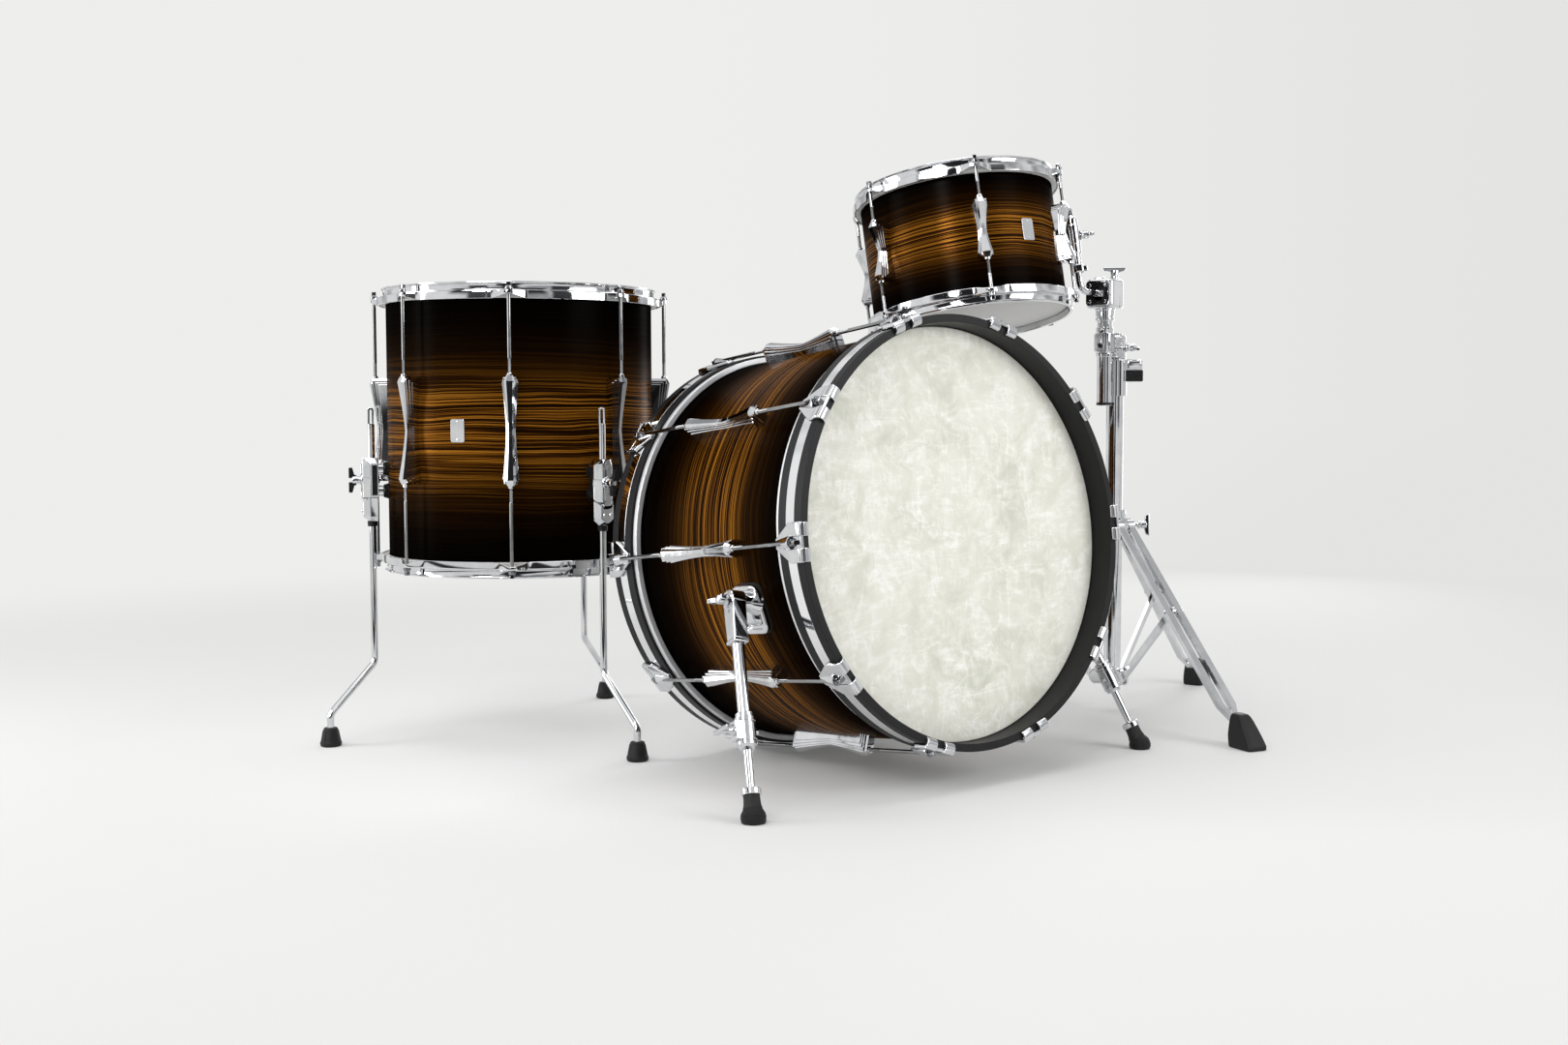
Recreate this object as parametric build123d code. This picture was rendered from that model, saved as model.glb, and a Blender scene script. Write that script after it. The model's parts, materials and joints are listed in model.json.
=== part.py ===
from build123d import *
import os
from math import atan2, cos, degrees, radians, sin

# An acoustic drum kit: a bass drum on two spurs, a floor tom on three legs and a rack tom on a
# tripod stand. Millimetres, +Z up, +Y from the audience to the player, and the origin on the
# floor under the middle of the kit.

# Places of the three units on the floor
bass_x = -184.0
bass_front_y = -411.0
floor_tom_x = -451.0
floor_tom_y = 309.0
floor_tom_height = 473.0
stand_x = 395.0
stand_y = -166.0

# Shells
shell_wall = 7.0
bearing_edge_flat = 1.5
bass_radius = 279.4
bass_depth = 355.6
bass_lug_count = 10
bass_tilt = 6.7
floor_tom_radius = 203.2
floor_tom_depth = 406.4
floor_tom_lug_count = 8
floor_tom_badge_angle = -146.5
rack_tom_radius = 152.4
rack_tom_depth = 203.2
rack_tom_lug_count = 6
rack_tom_badge_angle = -94.0
rack_tom_tilt = 10.9
rack_tom_x = 136.0
rack_tom_y = -70.6
rack_tom_height = 747.0

# Heads
film_thickness = 0.6
film_play = 0.6
flesh_ring_height = 9.0
flesh_ring_width = 8.4

# Flanged hoops of the toms
hoop_gauge = 2.3
hoop_rise = 11.0
hoop_step = 1.5
hoop_skirt = 12.5
hoop_lip = 3.0
hoop_play = 0.6
ear_width = 22.0
ear_thickness = 6.0

# Wooden hoops of the bass drum
bass_hoop_width = 46.0
bass_hoop_overhang = 35.0
bass_hoop_build = 12.6
bass_hoop_radius = bass_radius + bass_hoop_build
inlay_width = 17.0
inlay_setback = 14.0
inlay_thickness = 1.2

# Tension rods
rod_radius = 2.8
rod_offset = 19.5
rod_grip = 22.0
thread_play = 0.05
washer_radius = 6.0
washer_thickness = 1.6
rod_flange_radius = 4.9
rod_flange_height = 3.0
key_width = 6.2
key_height = 6.0

# Stepped bow-tie lugs: each layer below the spine is shorter, wider and lower
lug_length = 158.0
rack_lug_length = 92.0
lug_layers = 3
lug_tip_half_width = 3.6
lug_point = 8.0
lug_end_half_width = 6.8
lug_waist_half_width = 2.6
lug_end_height = 28.0
lug_waist_height = 17.0
lug_step_length = 6.0
lug_step_end_width = 2.4
lug_step_waist_width = 1.5
lug_step_end_height = 7.0
lug_step_waist_height = 4.0
ferrule_radius = 4.4
ferrule_height = 4.0

# Lug fixing screws inside the shells
lug_screw_radius = 2.5
lug_screw_pitch = 0.55
lug_screw_depth = 6.0
lug_screw_head_radius = 6.0
lug_screw_head_height = 4.0
screw_play = 0.2

# Claws of the bass drum
claw_width = 51.0
claw_nose_width = 13.0
claw_length = 46.0
claw_shoulder = 19.0
claw_plate = 5.2
claw_ridge_height = 12.2
claw_ridge_width = 18.0
claw_ridge_taper = 12.0
claw_hook = 10.0
claw_hook_thickness = 4.2
claw_slot_width = 14.0
claw_slot_length = 15.0
claw_seat = 0.2

# Spurs of the bass drum; lengths along a spur run from its pivot to the floor
spur_angle = 196.4
spur_setback = 137.0
spur_foot_spread = 364.0
spur_foot_y = -406.0
spur_pivot_reach = 31.6
spur_pivot_rise = 21.4
spur_pivot_advance = 6.8
spur_plate_height = 67.0
spur_plate_length = 54.0
spur_plate_thickness = 8.0
spur_plate_corner = 13.0
spur_plate_taper = 6.0
spur_dome_margin = 6.0
spur_dome_height = 14.0
spur_dome_corner = 10.0
spur_dome_taper = 28.0
spur_boss_radius = 12.0
spur_boss_root = 30.0
spur_bolt_grip = 8.0
spur_eye_radius = 14.0
spur_eye_thickness = 20.0
spur_cheek_half_width = 10.5
spur_tube_radius = 8.0
spur_tube_start = 50.0
spur_tube_length = 126.0
spur_tube_end = spur_tube_start + spur_tube_length
spur_cheek_grip = 8.0
spur_cheek_end = spur_tube_start + spur_cheek_grip
spur_bore_room = 4.0
spur_bore_start = spur_tube_start - spur_bore_room
spur_clamp_radius = 13.0
spur_clamp_grip = 26.0
spur_clamp_length = 46.0
spur_clamp_start = spur_tube_end - spur_clamp_grip
spur_clamp_end = spur_clamp_start + spur_clamp_length
spur_ear_reach = 18.0
spur_ear_width = 17.0
spur_ear_inset = 9.0
spur_rod_radius = 5.5
spur_rod_room = 46.0
spur_rod_start = spur_bore_start + spur_rod_room
spur_rod_end_radius = 4.2
spur_collar_radius = 12.5
spur_collar_height = 8.0
spur_rubber_radius = 16.0
spur_rubber_neck = 10.0
spur_rubber_waist = 11.0
spur_rubber_length = 40.0
spur_rubber_overrun = 5.0
spur_waist_share = 0.3
spur_bulb_start_share = 0.6
spur_bulb_end_share = 0.8

# Legs of the floor tom
leg_radius = 5.3
leg_stand_off = 24.8
leg_circle = floor_tom_radius + leg_stand_off
leg_tip_radius = 4.0
leg_tip_length = 25.0
leg_knee = 117.0
leg_low_bend = 48.0
leg_splay = 86.0
leg_bend_radius = 16.0
leg_side_angle = 57.0
leg_left_twist = 38.0
leg_bracket_drop = 110.0
leg_bracket_height = 68.0
leg_bracket_bottom = floor_tom_height - leg_bracket_drop
leg_bracket_top = leg_bracket_bottom + leg_bracket_height
leg_stand_out = 76.0
leg_top = leg_bracket_top + leg_stand_out
leg_bracket_width = 32.0
leg_bracket_inner = 15.0
leg_bracket_outer = 39.0
leg_bracket_point = 9.0
leg_bracket_ridge = 12.0
leg_post_radius = 6.0
leg_post_inset = 17.0
leg_lock_height = 29.0
leg_lock_radius = 12.5
leg_foot_height = 28.0
leg_foot_radius = 16.0
leg_foot_neck = 10.5
leg_foot_rim = 6.0
leg_foot_base_inset = 1.6

# Mount of the rack tom and the arm that carries it
mount_angle = 60.0
mount_plate_width = 36.0
mount_plate_height = 66.0
mount_plate_thickness = 6.0
mount_plate_corner = 8.0
mount_plate_taper = 6.0
mount_offset = 30.0
mount_sleeve_radius = 9.5
mount_sleeve_top = 43.0
mount_sleeve_length = 59.0
mount_sleeve_bottom = mount_sleeve_top - mount_sleeve_length
mount_neck_radius = 7.4
mount_neck_length = 17.0
mount_neck_bottom = mount_sleeve_bottom - mount_neck_length
mount_wing_height = 14.0
mount_web_width = 12.0
arm_radius = 5.5
arm_tip_radius = 4.2
arm_tip_length = 16.0
arm_stand_out = 1.0
arm_tip_start = mount_sleeve_top + arm_stand_out
arm_top = arm_tip_start + arm_tip_length
arm_bend_radius = 16.0
arm_lock_radius = 10.0
arm_lock_height = 14.0
arm_drop = 29.0
arm_bend = mount_neck_bottom - arm_lock_height - arm_drop
ball_radius = 16.0

# Wing bolts
wing_bolt_radius = 4.0
wing_hub_radius = 6.0
wing_span = 38.0
wing_height = 17.0
wing_thickness = 6.0
wing_clearance = 3.0
wing_boss_radius = 7.5
wing_boss_height = 7.0
wing_root_share = 0.7
wing_rise_share = 0.45
stand_wing_reach = 15.0

# Tripod of the stand
stand_foot_radius = 353.0
stand_first_leg_angle = -105.7
base_tube_radius = 14.0
base_tube_wall = 2.0
pivot_radius = 29.5
leg_pivot_height = 312.0
brace_pivot_height = 58.0
base_tube_drop = 22.0
base_tube_bottom = brace_pivot_height - base_tube_drop
pivot_pin_radius = 4.0
stand_leg_width = 32.0
stand_leg_gap = 10.0
stand_leg_depth = 8.0
stand_leg_head = 9.0
stand_leg_tongue = 13.0
stand_leg_taper = 26.0
stand_leg_tongue_length = 34.0
stand_leg_end_height = 15.0
stand_leg_slot_end = 2.0
rivet_stand_out = 2.0
rivet_depth = 1.0
brace_thickness = 6.0
brace_width = 12.0
brace_cheek = 3.5
leg_collar_radius = 19.5
leg_collar_rise = 24.0
leg_collar_drop = 25.0
leg_collar_top = leg_pivot_height + leg_collar_rise
leg_collar_bottom = leg_pivot_height - leg_collar_drop
collar_ear_height = 22.0
collar_ear_reach = 8.0
collar_ear_chamfer = 6.0
brace_collar_radius = 18.5
brace_collar_height = 22.0
side_play = 0.3
boot_length = 51.0
boot_height = 50.0
boot_width = 35.0
boot_top_length = 19.0
boot_top_width = 21.0
boot_heel = 20.0
boot_overhang = 5.0
boot_sole = 7.0

# Upper part of the stand
upper_tube_radius = 11.0
upper_tube_wall = 1.6
height_collar_radius = 18.5
height_collar_bottom = 525.0
height_collar_height = 58.0
height_collar_grip = 21.0
height_collar_top = height_collar_bottom + height_collar_height
base_tube_top = height_collar_bottom + height_collar_grip
height_ear_angle = -40.0
height_ear_height = 35.0
height_ear_bottom = height_collar_top - height_ear_height
height_ear_reach = 42.0
height_ear_width = 26.0
clamp_gap = 2.0
clamp_height = 39.0
clamp_bottom = height_collar_top + clamp_gap
clamp_top = clamp_bottom + clamp_height
upper_tube_insertion = 201.0
upper_tube_stand_out = 4.0
upper_tube_bottom = base_tube_top - upper_tube_insertion
upper_tube_top = clamp_top + upper_tube_stand_out
clamp_wall = 6.0
clamp_wing_angle = 122.0
grip_rise = 3.0
grip_height = 48.0
grip_bottom = clamp_bottom + grip_rise
grip_top = grip_bottom + grip_height
grip_wall = 4.0
post_offset = 44.6
post_heading = -162.7
post_radius = 12.0
post_wall = 2.0
post_drop = 79.0
post_length = 151.0
post_bottom = grip_bottom - post_drop
post_top = post_bottom + post_length
holder_turn = 12.0
holder_width = 48.0
holder_tall = 47.0
holder_corner = 4.0
holder_mouth = 8.5
holder_wing_offset = 15.0
holder_wing_angle = -39.0
holder_wing_depth = 13.0
holder_neck_radius = 15.0
holder_neck_height = 20.0
holder_post_grip = 14.0
holder_neck_bottom = post_top - holder_post_grip
holder_bottom = holder_neck_bottom + holder_neck_height
holder_height = holder_bottom + holder_tall / 2

# Running clearances
slide_play = 0.1
pin_play = 0.05
ball_play = 0.1

# How far a raised piece starts below its surface, and how far a cut runs past one
root_depth = 2.0
cut_margin = 1.0

LOW = (Align.CENTER, Align.CENTER, Align.MIN)


def polar(radius, angle, height=0.0):
    return Vector(radius * cos(radians(angle)), radius * sin(radians(angle)), height)


def tube(inner, outer, low, high):
    return extrude(Pos(0, 0, low) * (Circle(outer) - Circle(inner)), amount=high - low)


def shaft(start, end, radius):
    run = end - start
    return Plane(origin=start, z_dir=run).location * Cylinder(radius, run.length, align=LOW)


def turned(points):
    return revolve(Plane.XZ * make_face(Polyline(*points, close=True)), axis=Axis.Z)


def prism(plane, points, amount, both=False, taper=0.0):
    return extrude(plane * make_face(Polyline(*points, close=True)), amount=amount, both=both, taper=taper)


def around(shape, angles):
    return [Rot(0, 0, angle) * shape for angle in angles]


def mirrored(points):
    return points + [(-x, y) for x, y in reversed(points)]


def save(name, *shapes):
    solids = [solid for shape in shapes for solid in shape.solids()]
    export_step(solids[0] if len(solids) == 1 else Compound(solids), f"parts/{name}.step")


def lug_angles(count, first):
    return [first + 360.0 * step / count for step in range(count)]


def shell(radius, depth, angles, lug):
    inner = radius - shell_wall
    edge = depth / 2
    bevel = shell_wall - bearing_edge_flat
    body = turned([
        (inner, bevel - edge), (inner + bevel, -edge), (radius, -edge),
        (radius, edge), (inner + bevel, edge), (inner, edge - bevel),
    ])
    hole = lug_screw_radius + screw_play
    holes = []
    for height in screw_heights(lug):
        drill = shaft(Vector(inner - cut_margin, 0, height), Vector(radius + cut_margin, 0, height), hole)
        holes += around(drill, angles)
    return body - holes


def screw_heights(lug):
    reach = lug / 2 * lug_screw_pitch
    return [-reach, reach]


def lug_screws(radius, lug):
    # The flat head seats on the hollow wall along its rim.
    inner = radius - shell_wall
    seat = (inner ** 2 - lug_screw_head_radius ** 2) ** 0.5
    made = []
    for height in screw_heights(lug):
        base = Vector(seat, 0, height)
        shank = shaft(base, Vector(radius + lug_screw_depth, 0, height), lug_screw_radius)
        head = shaft(base - Vector(lug_screw_head_height, 0, 0), base, lug_screw_head_radius)
        made.append(shank + head)
    return made


def lug_layer(radius, length, layer):
    half = length / 2 - layer * lug_step_length
    end_half = lug_end_half_width + layer * lug_step_end_width
    waist_half = lug_waist_half_width + layer * lug_step_waist_width
    tip_half = lug_tip_half_width + layer * lug_step_end_width
    end_top = radius + lug_end_height - layer * lug_step_end_height
    waist_top = radius + lug_waist_height - layer * lug_step_waist_height
    base = radius - root_depth
    shoulder = half - lug_point
    front = mirrored([
        (tip_half, -half), (end_half, -shoulder), (waist_half, 0), (end_half, shoulder), (tip_half, half),
    ])
    side = [
        (base, -half), (end_top - lug_point / 2, -half), (end_top, -shoulder), (waist_top, 0),
        (end_top, shoulder), (end_top - lug_point / 2, half), (base, half),
    ]
    face = prism(Plane.YZ.offset(base), front, end_top - base)
    return face & prism(Plane.XZ, side, end_half, both=True)


def lug(radius, length):
    body = lug_layer(radius, length, 0)
    for layer in range(1, lug_layers):
        body += lug_layer(radius, length, layer)
    axis = radius + rod_offset
    half = length / 2
    for sense in (-1, 1):
        tip = Vector(axis, 0, sense * (half + ferrule_height))
        body += shaft(Vector(axis, 0, sense * (half - lug_point)), tip, ferrule_radius)
    for sense in (-1, 1):
        tip = Vector(axis, 0, sense * (half + ferrule_height))
        depth = rod_grip + ferrule_height + cut_margin
        body -= shaft(tip - Vector(0, 0, sense * depth), tip, rod_radius + thread_play)
    hole = lug_screw_radius + thread_play
    for height in screw_heights(length):
        base = Vector(radius - root_depth, 0, height)
        end = Vector(radius + lug_screw_depth + cut_margin, 0, height)
        body -= shaft(base, end, hole)
    return body - Cylinder(radius, 2 * length)


def tension_rod(radius, length, seat):
    axis = radius + rod_offset
    start = length / 2 + ferrule_height - rod_grip
    top = seat + washer_thickness + rod_flange_height
    body = shaft(Vector(axis, 0, start), Vector(axis, 0, top), rod_radius)
    body += shaft(Vector(axis, 0, seat), Vector(axis, 0, seat + washer_thickness), washer_radius)
    body += shaft(Vector(axis, 0, seat), Vector(axis, 0, top), rod_flange_radius)
    return body + Pos(axis, 0, top) * Box(key_width, key_width, key_height, align=LOW)


def both_ends(shape):
    return [shape, mirror(shape, about=Plane.XY)]


def tom_head(radius, depth):
    edge = depth / 2
    inner = radius + film_play
    ring_top = edge - hoop_step - hoop_gauge
    ring_low = ring_top - flesh_ring_height
    outer = inner + flesh_ring_width
    return turned([
        (0, edge), (inner, edge), (inner, ring_low), (outer, ring_low), (outer, ring_top),
        (inner + film_thickness, ring_top), (inner + film_thickness, edge + film_thickness),
        (0, edge + film_thickness),
    ])


def tom_hoop(radius, depth, angles):
    edge = depth / 2
    top = edge + hoop_rise
    step = edge - hoop_step
    low = step - hoop_skirt
    wall_in = radius + film_play + film_thickness + hoop_play
    wall_out = wall_in + hoop_gauge
    lip_out = wall_out + hoop_lip
    skirt_in = radius + film_play + flesh_ring_width + hoop_play
    skirt_out = skirt_in + hoop_gauge
    body = turned([
        (wall_in, step - hoop_gauge), (skirt_in, step - hoop_gauge), (skirt_in, low), (skirt_out, low),
        (skirt_out, step), (wall_out, step), (wall_out, top - hoop_gauge), (lip_out, top - hoop_gauge),
        (lip_out, top), (wall_in, top),
    ])
    axis = radius + rod_offset
    ear_end = axis + washer_radius + cut_margin
    half = ear_width / 2
    outline = [
        (skirt_in + cut_margin, -half), (skirt_out, -half), (ear_end, -washer_radius),
        (ear_end, washer_radius), (skirt_out, half), (skirt_in + cut_margin, half),
    ]
    ear = prism(Plane.XY.offset(step - ear_thickness), outline, ear_thickness)
    hole = Pos(axis, 0, step) * Cylinder(rod_radius + screw_play, 4 * ear_thickness)
    return body + around(ear, angles) - around(hole, angles)


def bass_hoop():
    face = bass_depth / 2 + bass_hoop_overhang
    inner = bass_radius + film_play + film_thickness + hoop_play
    groove_top = face - inlay_setback
    body = tube(inner, bass_hoop_radius, face - bass_hoop_width, face)
    strip = tube(bass_hoop_radius - inlay_thickness, bass_hoop_radius, groove_top - inlay_width, groove_top)
    return body - strip, strip


def bass_head():
    edge = bass_depth / 2
    inner = bass_radius + film_play
    ring_top = edge + bass_hoop_overhang - bass_hoop_width
    film = turned([
        (0, edge), (inner, edge), (inner, ring_top), (inner + film_thickness, ring_top),
        (inner + film_thickness, edge + film_thickness), (0, edge + film_thickness),
    ])
    ring = tube(inner, inner + flesh_ring_width, ring_top - flesh_ring_height, ring_top)
    return film, ring


def claw():
    face = bass_depth / 2 + bass_hoop_overhang
    ground = bass_hoop_radius + claw_seat
    half = claw_width / 2
    nose = claw_nose_width / 2
    slot = claw_slot_width / 2
    front = face + claw_seat + claw_hook_thickness
    back = face - claw_length
    shoulder = face - claw_shoulder
    slot_end = face - claw_slot_length
    plate = prism(Plane.YZ.offset(ground), mirrored([
        (nose, back), (half, shoulder), (half, front), (slot, front), (slot, slot_end),
    ]), claw_plate)
    ridge_half = claw_ridge_width / 2
    ridge = prism(Plane.YZ.offset(ground), mirrored([
        (nose, back), (ridge_half, shoulder), (ridge_half, slot_end),
    ]), claw_ridge_height, taper=claw_ridge_taper)
    hook_size = (claw_plate + claw_hook, half - slot, claw_hook_thickness)
    body = plate + ridge
    for sense in (-1, 1):
        place = Pos(ground - claw_hook, sense * (half + slot) / 2, face + claw_seat)
        body += place * Box(*hook_size, align=(Align.MIN, Align.CENTER, Align.MIN))
    axis = bass_radius + rod_offset
    return body - shaft(Vector(axis, 0, back - cut_margin), Vector(axis, 0, front), rod_radius + screw_play)


def wing_bolt(shank):
    # The bolt points along -Z from its shoulder at the origin, and the wings stand on +Z.
    half = wing_span / 2
    root = wing_height * wing_root_share
    wings = prism(Plane.XZ, mirrored([
        (wing_hub_radius, 0), (half, wing_height * wing_rise_share), (half, wing_height),
        (wing_hub_radius, root),
    ]), wing_thickness / 2, both=True)
    hub = Cylinder(wing_hub_radius, root, align=LOW)
    return wings + hub + Pos(0, 0, -shank) * Cylinder(wing_bolt_radius, shank, align=LOW)


def bolt_place(tip, heading, shank, wings_along):
    return Plane(origin=tip + heading * shank, x_dir=wings_along, z_dir=heading).location


def rest_on_floor(shape):
    box = shape.bounding_box()
    under = Box(2 * box.size.X, 2 * box.size.Y, box.size.Z, align=(Align.CENTER, Align.CENTER, Align.MAX))
    return shape - Pos(box.center().X, box.center().Y, 0) * under


os.makedirs("parts", exist_ok=True)

# Bass drum, built along its own axis with +Z to the audience and +Y up
bass_half = bass_depth / 2 + bass_hoop_overhang
bass_forward = Vector(0, -cos(radians(bass_tilt)), sin(radians(bass_tilt)))
bass_front_z = 2 * bass_half * sin(radians(bass_tilt)) + bass_hoop_radius * cos(radians(bass_tilt))
bass_front = Vector(bass_x, bass_front_y, bass_front_z)
bass_place = Plane(origin=bass_front - bass_forward * bass_half, x_dir=(1, 0, 0), z_dir=bass_forward).location
bass_angles = lug_angles(bass_lug_count, 0.0)
front_hoop, front_inlay = bass_hoop()
front_film, front_ring = bass_head()
bass_lug = lug(bass_radius, lug_length)
bass_rod = tension_rod(bass_radius, lug_length, bass_half - claw_slot_length)
bass_claw = claw()

save("bass_shell", bass_place * shell(bass_radius, bass_depth, bass_angles, lug_length))
save("bass_hoops", *[bass_place * hoop for hoop in both_ends(front_hoop)])
save("bass_hoop_inlays", *[bass_place * strip for strip in both_ends(front_inlay)])
save("bass_front_head", bass_place * front_film)
save("bass_rear_head", bass_place * mirror(front_film, about=Plane.XY))
save("bass_head_rings", *[bass_place * ring for ring in both_ends(front_ring)])
save("bass_lugs", *[bass_place * made for piece in [bass_lug, *lug_screws(bass_radius, lug_length)]
                    for made in around(piece, bass_angles)])
save("bass_claws", *[bass_place * made for end in both_ends(bass_claw) for made in around(end, bass_angles)])
save("bass_tension_rods", *[bass_place * made for end in both_ends(bass_rod)
                            for made in around(end, bass_angles)])

# Spurs: the left one is built and the right one is its mirror image
spur_seat = bass_place * Rot(0, 0, spur_angle) * Pos(0, 0, bass_half - spur_setback)
spur_outward = (spur_seat * Pos(1, 0, 0)).position - spur_seat.position
spur_pivot = (spur_seat * Pos(bass_radius + spur_pivot_reach, -spur_pivot_rise, spur_pivot_advance)).position
spur_foot = Vector(bass_x - spur_foot_spread, spur_foot_y, 0)
spur_length = (spur_foot - spur_pivot).length
spur_heading = (spur_foot - spur_pivot).normalized()
# The pivot axis is the outward direction made square to the spur.
spur_axis = (spur_outward - spur_heading * spur_outward.dot(spur_heading)).normalized()
spur_line = Plane(origin=spur_pivot, x_dir=spur_axis, z_dir=spur_heading).location
spur_eye_half = spur_eye_thickness / 2
spur_wing_shank = spur_eye_thickness + side_play + spur_bolt_grip + wing_clearance
spur_wing_tip = spur_pivot + spur_axis * (spur_eye_half + wing_clearance - spur_wing_shank)


def spur_bracket():
    base = Plane.YZ.offset(bass_radius - root_depth)
    plate = extrude(base * RectangleRounded(spur_plate_height, spur_plate_length, spur_plate_corner),
                    amount=root_depth + spur_plate_thickness, taper=spur_plate_taper)
    dome_height = spur_plate_height - 2 * spur_dome_margin
    dome_length = spur_plate_length - 2 * spur_dome_margin
    dome = extrude(Plane.YZ.offset(bass_radius + spur_plate_thickness)
                   * RectangleRounded(dome_height, dome_length, spur_dome_corner),
                   amount=spur_dome_height - spur_plate_thickness, taper=spur_dome_taper)
    boss_end = spur_pivot - spur_axis * (spur_eye_half + side_play)
    boss = shaft(spur_pivot - spur_axis * spur_boss_root, boss_end, spur_boss_radius)
    drill = shaft(spur_wing_tip - spur_axis * cut_margin, boss_end, wing_bolt_radius + slide_play)
    room = Cylinder(bass_radius, 2 * spur_plate_height)
    return spur_seat * (plate + dome) + boss - drill - spur_seat * room


def spur_arm():
    inner = spur_pivot - spur_axis * spur_eye_half
    outer = spur_pivot + spur_axis * spur_eye_half
    flat = Plane(origin=spur_pivot, x_dir=spur_heading, z_dir=spur_axis)
    cheek = prism(flat, [
        (0, -spur_eye_radius), (spur_cheek_end, -spur_cheek_half_width),
        (spur_cheek_end, spur_cheek_half_width), (0, spur_eye_radius),
    ], spur_eye_half, both=True)
    sleeve = Pos(0, 0, spur_tube_start) * Cylinder(spur_tube_radius, spur_tube_length, align=LOW)
    bore = Pos(0, 0, spur_bore_start) * Cylinder(spur_rod_radius + slide_play, spur_tube_end, align=LOW)
    bolt = shaft(inner - spur_axis, outer + spur_axis, wing_bolt_radius + slide_play)
    return shaft(inner, outer, spur_eye_radius) + cheek + spur_line * sleeve - spur_line * bore - bolt


def spur_clamp():
    # A collar on the end of the tube, with a wing screw on its ear
    middle = spur_clamp_start + spur_clamp_length / 2
    ear_tall = spur_clamp_length - 2 * spur_ear_inset
    body = Pos(0, 0, spur_clamp_start) * Cylinder(spur_clamp_radius, spur_clamp_length, align=LOW)
    body += Pos(0, 0, middle) * Box(
        spur_ear_reach, spur_ear_width, ear_tall, align=(Align.MIN, Align.CENTER, Align.CENTER))
    body -= Cylinder(spur_tube_radius, spur_tube_end, align=LOW)
    body -= Cylinder(spur_rod_radius + slide_play, spur_clamp_end + cut_margin, align=LOW)
    screw_tip = Vector(spur_tube_radius + side_play, 0, middle)
    screw_end = Vector(spur_ear_reach, 0, middle)
    body -= shaft(screw_tip, screw_end, wing_bolt_radius + thread_play)
    shank = spur_ear_reach - screw_tip.X
    screw = bolt_place(screw_tip, Vector(1, 0, 0), shank, Vector(0, 1, 0)) * wing_bolt(shank)
    return [spur_line * body, spur_line * screw]


def spur_rod():
    collar_end = spur_length - spur_rubber_length + spur_rubber_overrun
    rod = Pos(0, 0, spur_rod_start) * Cylinder(spur_rod_radius, collar_end - spur_rod_start, align=LOW)
    collar = Pos(0, 0, collar_end - spur_collar_height) * Cylinder(
        spur_collar_radius, spur_collar_height, align=LOW)
    pin = Pos(0, 0, collar_end) * Cylinder(spur_rod_end_radius, spur_rubber_length / 2, align=LOW)
    return spur_line * (rod + collar + pin)


def spur_rubber():
    start = spur_length - spur_rubber_length + spur_rubber_overrun
    end = start + spur_rubber_length
    middle = start + spur_rubber_length / 2
    body = turned([
        (spur_rod_end_radius, start), (spur_rubber_neck, start),
        (spur_rubber_waist, start + spur_rubber_length * spur_waist_share),
        (spur_rubber_radius, start + spur_rubber_length * spur_bulb_start_share),
        (spur_rubber_radius, start + spur_rubber_length * spur_bulb_end_share),
        (spur_rubber_neck, end), (0, end), (0, middle), (spur_rod_end_radius, middle),
    ])
    return rest_on_floor(spur_line * body)


spur_wing_place = bolt_place(spur_wing_tip, spur_axis, spur_wing_shank, spur_axis.cross(spur_heading))
bass_middle = Plane.YZ.offset(bass_x)
left_bracket = spur_bracket()
save("spur_brackets", left_bracket, mirror(left_bracket, about=bass_middle))
spur_pieces = {
    "spur_arm": [spur_arm(), *spur_clamp()],
    "spur_rod": [spur_rod()],
    "spur_foot": [spur_rubber()],
    "spur_wing": [spur_wing_place * wing_bolt(spur_wing_shank)],
}
for name, pieces in spur_pieces.items():
    save(name + "_left", *pieces)
    save(name + "_right", *[mirror(piece, about=bass_middle) for piece in pieces])


def tom_pieces(radius, depth, count, badge_angle, length):
    # A tom's lugs lie either side of its badge, half a pitch away.
    angles = lug_angles(count, badge_angle + 180.0 / count)
    hoop = tom_hoop(radius, depth, angles)
    rod = tension_rod(radius, length, depth / 2 - hoop_step)
    lug_set = [lug(radius, length), *lug_screws(radius, length)]
    return {
        "shell": [shell(radius, depth, angles, length)],
        "hoops": both_ends(hoop),
        "heads": both_ends(tom_head(radius, depth)),
        "lugs": [made for piece in lug_set for made in around(piece, angles)],
        "tension_rods": [made for end in both_ends(rod) for made in around(end, angles)],
    }


# Floor tom
floor_tom_place = Pos(floor_tom_x, floor_tom_y, floor_tom_height)
floor_tom_pieces = tom_pieces(floor_tom_radius, floor_tom_depth, floor_tom_lug_count,
                              floor_tom_badge_angle, lug_length)
for name, pieces in floor_tom_pieces.items():
    save("floor_tom_" + name, *[floor_tom_place * piece for piece in pieces])

leg_angles = {
    "front": floor_tom_badge_angle + leg_side_angle,
    "left": floor_tom_badge_angle - leg_side_angle,
    "back": floor_tom_badge_angle + 180.0,
}
leg_twists = {"front": 0.0, "left": leg_left_twist, "back": 0.0}
leg_wing_height = (leg_bracket_top + leg_bracket_bottom) / 2
leg_wing_tip = leg_circle + leg_radius + side_play
leg_wing_shank = floor_tom_radius + leg_bracket_outer + wing_clearance - leg_wing_tip


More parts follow.
